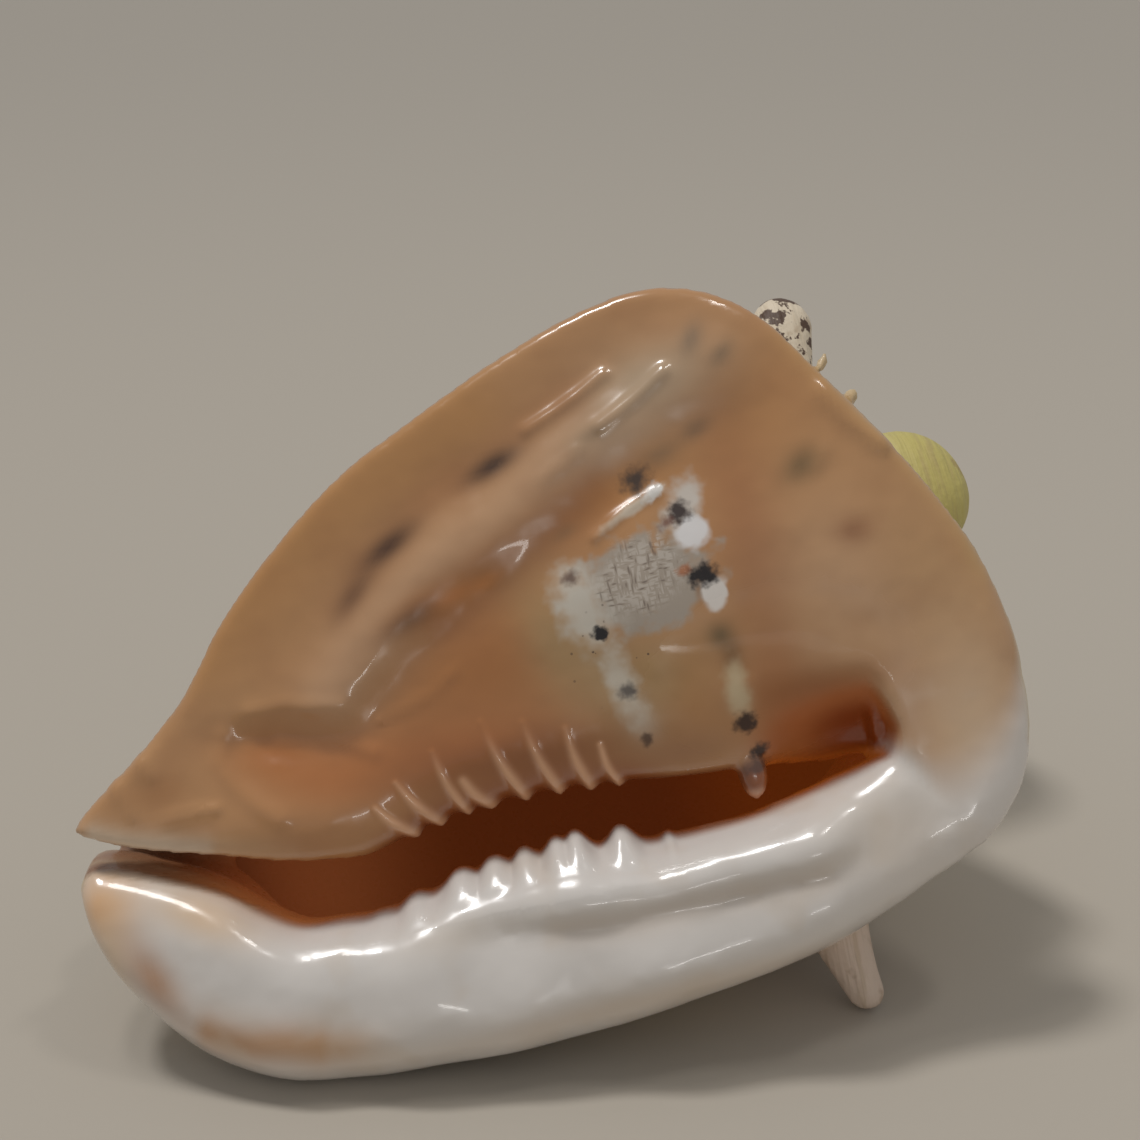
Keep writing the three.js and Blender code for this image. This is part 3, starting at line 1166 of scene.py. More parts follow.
@dataclass(frozen=True)
class Tint:
    """The shell's broad colours, laid on point by point.

    Attributes:
        shield_base: the shield's ground colour.
        lip_base: the lip's.
        back_base: the outer side's.
        inside_base: the mouth's.
        shield_tone: how much of each part of the light the painted shield keeps.
        shield: the washes and bands on the shield, in the order they go on.
        lip: those on the lip.
    """

    shield_base: Colour = (196, 152, 108)
    lip_base: Colour = (216, 209, 202)
    back_base: Colour = (214, 196, 160)
    inside_base: Colour = (176, 96, 40)
    shield_tone: tuple[float, float, float] = (0.88, 0.80, 0.70)
    shield: tuple[Wash | Stripe, ...] = (
        Stripe(Trail(((30, 20), (50, 40), (75, 58), (100, 68), (128, 80))), 13, (194, 146, 92), 0.8),
        Wash(Patch(36, 8, 22, 12, 30), (200, 158, 116), 0.6),
        Wash(Patch(22, -2, 16, 5, 20), (204, 162, 120), 0.6),
        Wash(Patch(108, 14, 34, 20, 10), (182, 124, 70), 0.95),
        Wash(Patch(95, -6, 34, 11, -4), (176, 112, 62), 0.9),
        Wash(Patch(66, -4, 16, 8, -10), (190, 124, 72), 0.8),
        Wash(Patch(56, 2, 15, 6, -14), (182, 116, 58), 0.85),
        Wash(Patch(184, 60, 18, 26, -30), (196, 146, 96), 0.8),
        Wash(Patch(160, 84, 24, 9, 0), (198, 156, 116), 0.8),
        # Darker upright band at station 178: painted shade in the hollow between the two broad swellings
        Wash(Patch(178, 24, 9, 40, 4), (172, 118, 76), 0.8),
        # Lighter patch on the far swelling: painted light on its lit side
        Wash(Patch(196, 10, 17, 26, 0), (208, 172, 138), 0.9),
        Wash(Patch(222, 8, 12, 30, 12), (204, 166, 122), 0.7),
        Wash(Patch(222, -28, 16, 26, 0), (216, 192, 166), 0.95),
        Stripe(Trail((
            (176, 74), (158, 69), (136, 59), (119, 48), (103, 41), (88, 31), (72, 17), (66, 8),
        )), 9, (202, 166, 134), 0.9),
        Wash(Patch(160, 73, 18, 8, 10), (190, 176, 156), 0.75),
        Wash(Patch(148, 60, 14, 6, 20), (202, 180, 158), 0.6),
        # Darker band along the groove beside the cord: painted shade in the groove
        Stripe(
            Trail(((150, 78), (134, 71), (119, 63), (103, 56), (92, 49), (78, 37))), 5, (170, 122, 82), 0.55,
        ),
        Stripe(Trail(((150, 52), (130, 42), (112, 34), (94, 25))), 7, (166, 108, 60), 0.75),
        Wash(Patch(100, 31, 12, 4, 14), (206, 140, 76), 0.7),
        Wash(Patch(151, 50, 14, 5, 22), (186, 132, 74), 0.6),
        Wash(Patch(147, 6, 16, 20, 10), (188, 152, 112), 0.85),
        Wash(Patch(154, 2, 7, 15, 6), (196, 140, 84), 0.5),
        Wash(Patch(136, 8, 6, 22, 14), (190, 168, 134), 0.7),
        Wash(Patch(176, -9, 8, 14, 0), (180, 120, 72), 0.7),
        Wash(Patch(152, -17, 14, 5, 0), (172, 130, 98), 0.7),
        Wash(Patch(188, -8, 16, 5, 0), (164, 106, 60), 0.75),
        Wash(Patch(206, -22, 5, 16, 0), (204, 176, 152), 0.6),
        Stripe(Trail(((196, 84), (207, 66), (218, 48), (229, 28), (235, 8))), 4.5, (206, 174, 116), 0.7),
        # Pale band along the shield's lower edge by the canal tip: a painted highlight where the rolled edge
        # catches the light
        Stripe(Trail(((3, -6), (12, -10), (24, -13.5), (36, -17))), 3.4, (232, 220, 206), 0.85),
        Stripe(Trail(((34, -16), (44, -18), (56, -21))), 3.2, (214, 180, 146), 0.7),
        Wash(Patch(118, -11, 26, 8, -2), (150, 92, 48), 0.8),
        Wash(Patch(24, 0, 9, 5, 0), (176, 128, 82), 0.7),
        Wash(Patch(60, -19, 16, 5, -6), (188, 138, 96), 0.7),
        Wash(Patch(142.4, -6.5, 3.36, 4.7, 20), (206, 196, 188), 0.8),
        Wash(Patch(166.8, -7.6, 2.69, 3.14, 0), (214, 200, 174), 0.8),
        Wash(Patch(157.6, 33, 3.36, 6.72, 0), (150, 132, 112), 0.5),
        Wash(Patch(168.6, -27.5, 5.15, 6.72, 0), (190, 160, 146), 0.8),
        Wash(Patch(163.6, 20.6, 2.91, 2.02, 0), (120, 100, 84), 0.7),
        Wash(Patch(167, 4.4, 2.69, 3.81, 0), (122, 88, 50), 0.7),
        Wash(Patch(165.1, 9.6, 3.25, 2.91, 0), (104, 92, 66), 0.8),
        Wash(Patch(126, 16, 7, 16, 14), (186, 160, 118), 0.75),
        Wash(Patch(148, 4, 10, 9, 10), (184, 156, 112), 0.7),
        Wash(Patch(133.7, 41.2, 3.4, 1.6, 20), (150, 118, 84), 0.5),
        Wash(Patch(160.3, 55.1, 5, 2.6, 20), (140, 116, 90), 0.6),
        Wash(Patch(169.9, 59.3, 4.2, 2.2, 20), (124, 104, 84), 0.6),
        Wash(Patch(173.3, 80.9, 4.5, 2.4, 60), (128, 118, 106), 0.6),
        Wash(Patch(179.6, 75.8, 3.6, 2, 40), (130, 116, 98), 0.6),
        Wash(Patch(119.8, 61, 7.6, 2.7, 20), (62, 40, 28), 0.95),
        Wash(Patch(91, 47, 8.4, 2.9, 28), (78, 50, 32), 0.95),
        Wash(Patch(80, 37, 7, 2.8, 42), (110, 78, 54), 0.8),
        Wash(Patch(94, 29, 9, 3, 18), (112, 76, 48), 0.75),
        Wash(Patch(104, 32, 5, 1.8, 18), (206, 136, 74), 0.8),
        Wash(Patch(112, 33.5, 4, 1.5, 18), (206, 138, 76), 0.8),
        Wash(Patch(193.1, 45.6, 5.5, 3.6, 30), (118, 98, 66), 0.8),
        Wash(Patch(201.7, 27.7, 4.6, 3.2, 0), (142, 92, 60), 0.6),
        Wash(Patch(144, 63, 6, 2, 24), (150, 132, 110), 0.5),
    )
    lip: tuple[Wash | Stripe, ...] = (
        Wash(Patch(4, -24, 9, 11, -10), (222, 168, 112), 0.9),
        Wash(Patch(3, -40, 6, 16, -14), (216, 190, 158), 0.7),
        Wash(Patch(14, -44, 5, 10, 22), (176, 122, 76), 0.75),
        Stripe(Trail(((20, -57), (32, -63), (43, -65), (54, -68))), 5.5, (190, 142, 98), 0.85),
        Wash(Patch(56, -69, 10, 5, -10), (196, 156, 116), 0.7),
        Wash(Patch(28, -31, 14, 5, -30), (214, 176, 132), 0.7),
        # Greyer band along the lip's crease: painted shade in the crease
        Stripe(
            Trail(((108, -52), (127, -53.5), (147, -53), (168, -53), (184, -52))), 4.5, (196, 182, 168), 0.7,
        ),
        Wash(Patch(196, -46, 16, 12, 10), (214, 198, 180), 0.6),
        # Greyer patch where the crease begins: painted shade in the crease
        Wash(Patch(88, -48, 14, 4, 0), (206, 192, 176), 0.5),
        Wash(Patch(135, -73, 60, 4, 2), (204, 184, 162), 0.6),
    )

    def paint(self, spots: np.ndarray, inside: np.ndarray, front: np.ndarray) -> np.ndarray:
        """Works out the broad colour of each point.

        Args:
            spots: the points, in the shell's frame.
            inside: how much each point lies inside the mouth.
            front: how much each point lies on the front face.

        Returns:
            A colour for each point, as light.
        """
        x, y, z = spots.T
        on_lip, on_front, within = self.lip_share(spots)[:, None], front[:, None], inside[:, None]
        glazed = self.on_shield(x, z) * (1 - on_lip) + self.on_lip(x, y, z) * on_lip
        outer = self.back(spots) * (1 - on_front) + glazed * on_front
        return self.deep(x) * within + outer * (1 - within)

    def on_shield(self, x: np.ndarray, z: np.ndarray) -> np.ndarray:
        """The shield's colours: ochre and pink, darker beside the mouth, with pale folds.

        Args:
            x: the points' stations.
            z: the points' heights.

        Returns:
            A colour for each point, as light.
        """
        margin = SHIELD_MARGIN.at(x)
        above = z - margin
        colours = np.tile(linear(self.shield_base), (len(x), 1))
        for layer in self.shield:
            colours = lay(colours, layer.colour, layer.cover(x, z))
        beside = 0.8 * (1 - eased(above, 0.5, 9)) * eased(x, 66, 84) * (1 - eased(x, 136, 150))
        colours = lay(colours, (150, 84, 44), beside)
        edge = 0.8 * (1 - eased(above, -1, 3)) * eased(x, 62, 80) * (1 - eased(x, 180, 196))
        colours = lay(colours, (120, 52, 20), edge)
        recess = FRONT.recess(x, z)
        colours = lay(colours, (190, 112, 56), 0.85 * eased(recess, 0.05, 0.45))
        # Darker still towards the deep end of the recess: painted shade over the wall's own orange
        colours = lay(colours, (150, 70, 26), 0.9 * eased(recess, 0.4, 0.9) * eased(x, 176, 194))
        fold = Relief().folds_at(x, np.maximum(z, margin - 0.5))[1]
        colours = lay(colours, (236, 190, 156), 0.9 * fold * eased(margin + 20 - z, 0, 14))
        return colours * np.array(self.shield_tone)

    def on_lip(self, x: np.ndarray, y: np.ndarray, z: np.ndarray) -> np.ndarray:
        """The lip's colours: white, with tan patches and an orange inner edge.

        Args:
            x: the points' stations.
            y: the points' depths.
            z: the points' heights.

        Returns:
            A colour for each point, as light.
        """
        colours = np.tile(linear(self.lip_base), (len(x), 1))
        for layer in self.lip:
            colours = lay(colours, layer.colour, layer.cover(x, z))
        beyond = z - LIP_MARGIN.at(x) - Lip().scallop(x)
        colours = lay(colours, (184, 136, 92), 0.9 * eased(beyond, -5, 0) * (1 - eased(x, 30, 58)))
        edge = 0.8 * eased(beyond, -0.6, 1.5) * (y > 8) * (1 - eased(x, 186, 196))
        return lay(colours, (206, 130, 74), edge)

    def deep(self, x: np.ndarray) -> np.ndarray:
        """The mouth's colours, from tan at the canal to orange at the far end.

        Args:
            x: the points' stations.

        Returns:
            A colour for each point, as light.
        """
        colours = np.tile(linear(self.inside_base), (len(x), 1))
        colours = lay(colours, (206, 134, 76), 0.9 * (1 - eased(x, 40, 84)))
        colours = lay(colours, (146, 108, 82), 0.95 * (1 - eased(x, 8, 44)))
        return lay(colours, (216, 118, 38), 0.8 * eased(x, 140, 176))

    def lip_share(self, spots: np.ndarray) -> np.ndarray:
        """How much each point of the front belongs to the lip's white glaze.

        Args:
            spots: the points, in the shell's frame.

        Returns:
            The share at each point, from 0 to 1.
        """
        x, y, z = spots.T
        middle = (SHIELD_MARGIN.at(x) + LIP_MARGIN.at(x)) / 2
        middle = np.where(x > 196, middle + (x - 196) * 0.55, middle)
        soft = 1.5 + 9 * eased(x, 196, 216)
        return 1 - eased((z - middle) / soft, -1, 1)

    def back(self, spots: np.ndarray) -> np.ndarray:
        """The outer side's colours: cream, banded, with mottled and yellowish horns.

        Args:
            spots: the points, in the shell's frame.

        Returns:
            A colour for each point, as light.
        """
        x, y, z = spots.T
        colours = np.tile(linear(self.back_base), (len(x), 1))
        colours = lay(colours, (196, 172, 132), 0.6 * np.clip(np.sin(x / 6.5) * 0.5 + 0.3, 0, 1))
        colours = lay(colours, (226, 214, 190), 0.6 * eased(y, 60, 120))
        for horn in HORNS:
            gap = np.linalg.norm(spots - np.array(horn.tip), axis=1)
            colours = lay(colours, horn.tone, 0.95 * (1 - eased(gap, 24, 56)))
        return colours


# The whole shell -----------------------------------------------------------------------------


HORNS = (
    Horn("horn_lip", (187, 35, -96.5), 15, 4.6, -1.5, (216, 194, 176)),
    Horn("horn_low", (196, 108.5, -64.8), 15, 6, -2),
    Horn("horn_back", (218, 146, -8), 17, 5, -2.5),
    Horn("horn_far", (255, 109, 35), 27, 19, 0, (192, 178, 100)),
    Horn("horn_top", (209, 76, 95), 17, 8, -1.5),
)
KNOB_ROWS = (
    KnobRow(158, 28, 190, 6, 17, 7),
    KnobRow(126, 22, 180, 6, 15, 5.8),
)
CRUMBS = (
    Bump("peg_high", (204.6, 11.0, 69.4), (0.6, -0.2, 0.8), 1.8, 3.0),
    Bump("peg_low", (209.8, 11.0, 59.6), (0.7, -0.2, 0.7), 2.1, 3.2),
    Bump("lobe", (166.9, 13.0, -26.0), (0.0, 0.1, -1.0), 3.7, 7.0),
)


@dataclass(frozen=True)
class Pose:
    """How the shell rests, in degrees and millimetres."""

    roll: float = -11.3
    lean: float = -24.5
    shift: tuple[float, float, float] = (-121.181, -63.069, 68.263)

    @cached_property
    def turn(self) -> Matrix:
        """The turn from the shell's frame to the row frame."""
        roll = Matrix.Rotation(math.radians(self.roll), 3, "Y")
        return Matrix.Rotation(math.radians(self.lean), 3, "X") @ roll

    def rest(self, spots: np.ndarray) -> np.ndarray:
        """Sets points of the shell down on the table, in metres.

        Args:
            spots: the points, in the shell's frame.

        Returns:
            The points in the row frame, one row each.
        """
        placed = spots @ np.array(self.turn).T + np.array(self.shift)
        placed[:, 2] = np.maximum(placed[:, 2], 0)
        return placed / 1000


@dataclass
class HelmetShell:
    """The shell as one grown piece.

    Attributes:
        grain: the size of the mesh's cells, in millimetres.
        polish: how many times the mesh is smoothed.
        close_ups: boxes along x and z in which the mesh is made finer, one after another. A
            box that is given twice is made finer twice.
        pose: how the shell rests.
        cavities: the solids that are cut away, kept to tell the inside from the outside.
    """

    grain: float = 1.7
    polish: int = 6
    close_ups: tuple[tuple[float, float, float, float], ...] = (
        (68, 146, -46, 5), (68, 146, -46, 5), (126, 174, -36, 53),
        (36, 82, -14, 18), (124, 168, 60, 80),
    )
    pose: Pose = field(default_factory=Pose)
    cavities: list[bpy.types.Mesh] = field(default_factory=list)

    def solid(self) -> bpy.types.Object:
        """Works the parts into one solid.

        Returns:
            The solid, still with sharp joints.
        """
        whole = WHORL.build()
        log.info("body whorl: %d faces", len(whole.data.polygons))
        behind = [Spire().build(), *(horn.build() for horn in HORNS)]
        for row in KNOB_ROWS:
            behind += row.build()
        for part in behind:
            work_in(whole, part, Joint.ADD)
        for cutter in (Mouth().build(), Hollow().build()):
            self.cavities.append(cutter.data.copy())
            work_in(whole, cutter, Joint.CUT)
        ahead = [Shield().build(), Lip().build(), *(crumb.build() for crumb in CRUMBS)]
        for part in ahead:
            work_in(whole, part, Joint.ADD)
        log.info("worked together: %d faces", len(whole.data.polygons))
        return whole

    def build(self) -> tuple[bpy.types.Object, np.ndarray]:
        """Models the finished shell.

        Returns:
            The shell in the row frame, and its points in its own frame.
        """
        sharp = self.solid()
        shell = stand("shell_body", sharp.data.copy())
        grain = shell.modifiers.new("grain", "REMESH")
        grain.mode = "VOXEL"
        grain.voxel_size = self.grain
        settle(shell)
        self.keep_largest(shell)
        self.refine(shell)
        cling = shell.modifiers.new("cling", "SHRINKWRAP")
        cling.target = sharp
        cling.wrap_method = "NEAREST_SURFACEPOINT"
        calm = shell.modifiers.new("calm", "SMOOTH")
        calm.factor = 0.5
        calm.iterations = self.polish
        settle(shell)
        mesh = sharp.data
        bpy.data.objects.remove(sharp)
        bpy.data.meshes.remove(mesh)
        spots = Relief().pull(corners(shell.data))
        put_corners(shell.data, spots)
        spots = spots + outwards(shell.data) * Relief().lift(spots)[:, None]
        put_corners(shell.data, self.pose.rest(spots))
        shell.data.shade_smooth()
        log.info("shell body: %d faces", len(shell.data.polygons))
        return shell, spots

    def keep_largest(self, shell: bpy.types.Object) -> None:
        """Drops any loose scraps.

        Args:
            shell: the shell.
        """
        bm = bmesh.new()
        bm.from_mesh(shell.data)
        groups: list[list[bmesh.types.BMVert]] = []
        seen: set[int] = set()
        for start in bm.verts:
            if start.index in seen:
                continue
            group, waiting = [], [start]
            seen.add(start.index)
            while waiting:
                vert = waiting.pop()
                group.append(vert)
                for edge in vert.link_edges:
                    other = edge.other_vert(vert)
                    if other.index not in seen:
                        seen.add(other.index)
                        waiting.append(other)
            groups.append(group)
        groups.sort(key=len)
        for scrap in groups[:-1]:
            bmesh.ops.delete(bm, geom=scrap, context="VERTS")
        bm.to_mesh(shell.data)
        bm.free()

    def refine(self, shell: bpy.types.Object) -> None:
        """Makes the mesh finer round the teeth, the folds and the thin callus.

        Args:
            shell: the shell.
        """
        bm = bmesh.new()
        bm.from_mesh(shell.data)
        for left, right, low, high in self.close_ups:
            near = {
                vert for vert in bm.verts
                if left < vert.co.x < right and low < vert.co.z < high and vert.co.y < 17
            }
            edges = [edge for edge in bm.edges if near.issuperset(edge.verts)]
            bmesh.ops.subdivide_edges(bm, edges=edges, cuts=1, use_grid_fill=True)
        bm.to_mesh(shell.data)
        bm.free()

    def inside(self, spots: np.ndarray) -> np.ndarray:
        """How much each point lies inside the mouth, from 0 to 1.

        Args:
            spots: the points, in the shell's frame.

        Returns:
            The share at each point.
        """
        x, y, z = spots.T
        gap = np.minimum(*(nearness(mesh, spots) for mesh in self.cavities))
        under = (1 - eased(gap, 0.9, 2.4)) * eased(y - WHORL.inner_front(x, z), -1.0, 1.5)
        low, high = LIP_MARGIN.at(x), SHIELD_MARGIN.at(x)
        in_slit = eased(z - low, -3.5, -0.5) * (1 - eased(z - high, 0.5, 3.5)) * (x > 0) * (x < 206)
        near = np.minimum(FRONT.shield(x, np.maximum(z, high)), FRONT.lip(x, np.minimum(z, low)))
        in_slit = in_slit * eased(y - near, 4, 9) * (1 - eased(y - near, 20, 27))
        return np.clip(np.maximum(under, in_slit), 0, 1)

    def front(self, spots: np.ndarray) -> np.ndarray:
        """How much each point lies on the glossy front face, from 0 to 1.

        Args:
            spots: the points, in the shell's frame.

        Returns:
            The share at each point.
        """
        x, y, z = spots.T
        deep = np.where(z < -33, FRONT.lip(x, z) + 13, FRONT.shield(x, z) + 4.6)
        return 1 - eased(y - deep, -1.5, 2.5)

    def dress(self, shell: bpy.types.Object, spots: np.ndarray, finish: "Glaze") -> None:
        """Paints the shell's broad colours on and gives it its finish.

        Args:
            shell: the shell.
            spots: the points, in the shell's frame.
            finish: the finish it gets.
        """
        inside, front = self.inside(spots), self.front(spots)
        tint = Tint()
        masks = np.stack([inside, front * (1 - inside), tint.lip_share(spots) * front], axis=1)
        for name, values in (("tint", tint.paint(spots, inside, front)), ("masks", masks)):
            layer = shell.data.attributes.new(name, "FLOAT_COLOR", "POINT")
            layer.data.foreach_set("color", np.column_stack([values, np.ones(len(spots))]).ravel())
        shell.data.materials.clear()
        shell.data.materials.append(finish.build(self.pose))
        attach(shell, "root")
        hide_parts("shell")
        log.info("%s: dressed", shell.name)


# Finishes ------------------------------------------------------------------------------------


Number = float | int


class Sum:
    """A number inside a material, which can be added, multiplied and so on."""

    def __init__(self, nodes: "Nodes", socket: bpy.types.NodeSocket) -> None:
        """Wraps one output socket."""
        self.nodes = nodes
        self.socket = socket

    def _with(self, kind: str, first: "Sum | Number", second: "Sum | Number") -> "Sum":
        """One Math node over two values."""
        return self.nodes.add("ShaderNodeMath", {"operation": kind}, {0: first, 1: second})

    def __add__(self, other: "Sum | Number") -> "Sum":
        """Adds."""
        return self._with("ADD", self, other)

    __radd__ = __add__

    def __sub__(self, other: "Sum | Number") -> "Sum":
        """Takes away."""
        return self._with("SUBTRACT", self, other)

    def __rsub__(self, other: Number) -> "Sum":
        """Takes this away from a number."""
        return self._with("SUBTRACT", other, self)

    def __mul__(self, other: "Sum | Number") -> "Sum":
        """Multiplies."""
        return self._with("MULTIPLY", self, other)

    __rmul__ = __mul__

    def __truediv__(self, other: "Sum | Number") -> "Sum":
        """Divides."""
        return self._with("DIVIDE", self, other)

    def __pow__(self, other: Number) -> "Sum":
        """Raises to a power."""
        return self._with("POWER", self, other)

    def most(self, other: "Sum | Number") -> "Sum":
        """The larger of two values."""
        return self._with("MAXIMUM", self, other)

    def eased(self, start: float, end: float) -> "Sum":
        """Rises smoothly from 0 at start to 1 at end.

        Args:
            start: where the rise begins.
            end: where it is complete.

        Returns:
            The share, wrapped.
        """
        low, high, first, last = (start, end, 0.0, 1.0) if start < end else (end, start, 1.0, 0.0)
        return self.nodes.add(
            "ShaderNodeMapRange", {"interpolation_type": "SMOOTHSTEP"},
            {"Value": self, "From Min": low, "From Max": high, "To Min": first, "To Max": last},
        )


class Nodes:
    """A material's nodes, added one by one."""

    def __init__(self, name: str) -> None:
        """Starts an empty material.

        Args:
            name: its name.
        """
        self.material = bpy.data.materials.new(name)
        self.material.use_nodes = True
        self.tree = self.material.node_tree
        self.tree.nodes.clear()

    def add(
        self, kind: str, settings: dict[str, object], inputs: dict[int | str, object], out: int | str = 0
    ) -> Sum:
        """Adds a node.

        Args:
            kind: the node's type.
            settings: its properties.
            inputs: its inputs, as sockets or constants.
            out: which of its outputs to take.

        Returns:
            The output, wrapped.
        """
        node = self.tree.nodes.new(kind)
        for name, value in settings.items():
            setattr(node, name, value)
        for name, value in inputs.items():
            if isinstance(value, Sum):
                self.tree.links.new(value.socket, node.inputs[name])
            else:
                node.inputs[name].default_value = value
        return Sum(self, node.outputs[out])

    def paint(self, colour: Colour) -> tuple[float, float, float, float]:
        """A colour for a socket."""
        return (*map(float, linear(colour)), 1.0)

    def mix(self, share: Sum | Number, under: object, over: object) -> Sum:
        """Lays one colour over another."""
        return self.add("ShaderNodeMix", {"data_type": "RGBA"}, {0: share, 6: under, 7: over}, 2)

    def noise(self, where: Sum, scale: float, detail: float = 2.0, rough: float = 0.5) -> Sum:
        """Soft noise between 0 and 1."""
        inputs = {"Vector": where, "Scale": scale, "Detail": detail, "Roughness": rough}
        return self.add("ShaderNodeTexNoise", {}, inputs)

    def stretched(self, where: Sum, scale: tuple[float, float, float], turn: float = 0.0) -> Sum:
        """Coordinates scaled along each axis and turned about the depth."""
        inputs = {"Vector": where, "Scale": scale, "Rotation": (0.0, turn, 0.0)}
        return self.add("ShaderNodeMapping", {}, inputs)

    def finish(self, shader: Sum) -> None:
        """Joins the shader to the material's output."""
        out = self.tree.nodes.new("ShaderNodeOutputMaterial")
        self.tree.links.new(shader.socket, out.inputs["Surface"])

    def split(self, vector: Sum) -> tuple[Sum, Sum, Sum]:
        """A vector's three parts.

        Args:
            vector: the vector.

        Returns:
            The parts, wrapped.
        """
        first = self.add("ShaderNodeSeparateXYZ", {}, {0: vector})
        node = first.socket.node
        return first, Sum(self, node.outputs[1]), Sum(self, node.outputs[2])


@dataclass(frozen=True)
class Spot:
    """A fleck under the glaze: its place, half sizes, turn, colour and softness."""

    x: float
    z: float
    long: float
    wide: float
    colour: Colour
    turn: float = 0.0
    soft: float = 0.5
    strength: float = 0.95


@dataclass(frozen=True)
class Glaze:
    """The shell's finish: glossy callus in front, chalky growth behind.

    Attributes:
        spots: the flecks on the front face, in the order they go on.
        weave: where the callus is thin enough to show fine crossing dashes.
        thin: where tiny dark specks lie in it.
        recess: the recess at the mouth's far end, which is duller.
    """

    spots: tuple[Spot, ...] = (
        Spot(149.5, 26.0, 17, 11.5, (168, 156, 142), 8, 0.35, 0.95),
        Spot(134.5, 22.5, 6.5, 11, (206, 198, 184), 16, 0.7, 0.9),
        Spot(139.8, 3.0, 3.8, 10, (206, 196, 180), 10, 0.8, 0.9),
        Spot(166.6, -4.0, 3.2, 7, (204, 184, 148), 0, 0.8, 0.85),
        Spot(163.0, 41.4, 4.4, 8.6, (206, 198, 188), -20, 0.6, 0.9),
        Spot(163.6, 35.0, 4.6, 4.2, (226, 222, 220), 0, 0.35, 0.95),
        Spot(165.6, 19.6, 3.4, 4.8, (224, 216, 208), 0, 0.35, 0.95),
        # Pale streak and blob along the raised callus edge: its own white colour with a painted highlight
        # laid on it
        Spot(150.6, 43.6, 8.5, 1.4, (220, 206, 186), 24, 0.7, 0.85),
        Spot(156.4, 46.4, 3.0, 2.0, (232, 228, 222), 40, 0.5, 0.9),
        Spot(161.6, 40.5, 3.1, 2.7, (44, 26, 22), 40, 0.6),
        Spot(158.0, 38.6, 2.2, 1.4, (110, 66, 50), 30, 0.8, 0.8),
        Spot(159.8, 26.6, 2.0, 1.4, (176, 104, 56), 0, 0.6, 0.8),
        Spot(164.0, 24.4, 4.0, 3.0, (24, 12, 8), 0, 0.55, 1.0),
        Spot(137.1, 15.8, 2.2, 2.0, (16, 4, 2), 0, 0.35, 1.0),
        Spot(132.7, 30.4, 2.2, 1.7, (96, 70, 58), 20, 0.8, 0.85),
        Spot(140.6, 0.9, 2.8, 2.1, (84, 76, 72), 0, 0.75, 0.9),
        Spot(142.9, -11.9, 1.5, 1.9, (70, 42, 28), 0, 0.7, 0.85),
        Spot(167.2, -12.9, 3.2, 2.7, (46, 24, 14), 0, 0.6),
        Spot(169.6, -21.0, 2.8, 1.9, (36, 18, 12), 10, 0.6, 0.95),
        Spot(168.0, -24.6, 3.8, 2.3, (92, 66, 56), 0, 0.7, 0.85),
        Spot(153.0, 50.0, 3.8, 3.2, (64, 50, 42), 30, 0.9, 0.95),
    )
    weave: Patch = Patch(149.5, 27, 13, 10, 8)
    thin: Patch = Patch(140, 8, 14, 18, 10)
    recess: Patch = Patch(178, -2, 37, 24)

    def build(self, pose: Pose) -> bpy.types.Material:
        """Makes the material.

        Args:
            pose: how the shell rests, to bring the object's coordinates back to its own frame.

        Returns:
            The material.
        """
        n = Nodes("helmet_glaze")
        back = pose.turn.transposed()
        here = n.add("ShaderNodeTexCoord", {}, {}, "Object")
        moved = n.add("ShaderNodeMapping", {}, {
            "Vector": here, "Scale": (1000.0,) * 3, "Rotation": tuple(back.to_euler("XYZ")),
            "Location": tuple(-(back @ Vector(pose.shift))),
        })
        x, _, z = n.split(moved)
        masks = n.add("ShaderNodeAttribute", {"attribute_name": "masks"}, {}, "Vector")
        inside, front, lip = n.split(masks)
        behind = (1.0 - front - inside).most(0.0)
        fine = n.noise(moved, 0.4, 1.0)
        colour = self.front_on(n, x, z, moved, (front - lip).most(0.0), lip)
        colour = self.back_on(n, colour, x, z, moved, behind)

        ripple = n.noise(moved, 0.05, 2.0) * 1.6
        growth = n.noise(n.stretched(moved, (1.0, 0.08, 0.08)), 0.5, 2.0, 0.6)
        height = ripple * (front + 0.4) + growth * behind * 1.4 + fine * behind * 0.5
        bump = n.add("ShaderNodeBump", {}, {"Strength": 0.6, "Distance": 0.001, "Height": height})
        dull = self.oval(self.recess, x, z).eased(1.0, 0.6)
        shader = n.add("ShaderNodeBsdfPrincipled", {}, {
            "Base Color": colour,
            "Roughness": 0.19 + behind * 0.33 + fine * 0.08 + inside * 0.05 + dull * 0.3,
            "Coat Weight": (front * 0.5 + inside * 0.3) * (1.0 - dull * 0.95),
            "Coat Roughness": 0.06, "IOR": 1.5, "Normal": bump,
            # Emission here is a painted glow inside the mouth, not a lamp
            "Emission Color": self.glow(n, x, inside), "Emission Strength": 1.0,
        })
        n.finish(shader)
        n.material.cycles.emission_sampling = "NONE"
        return n.material

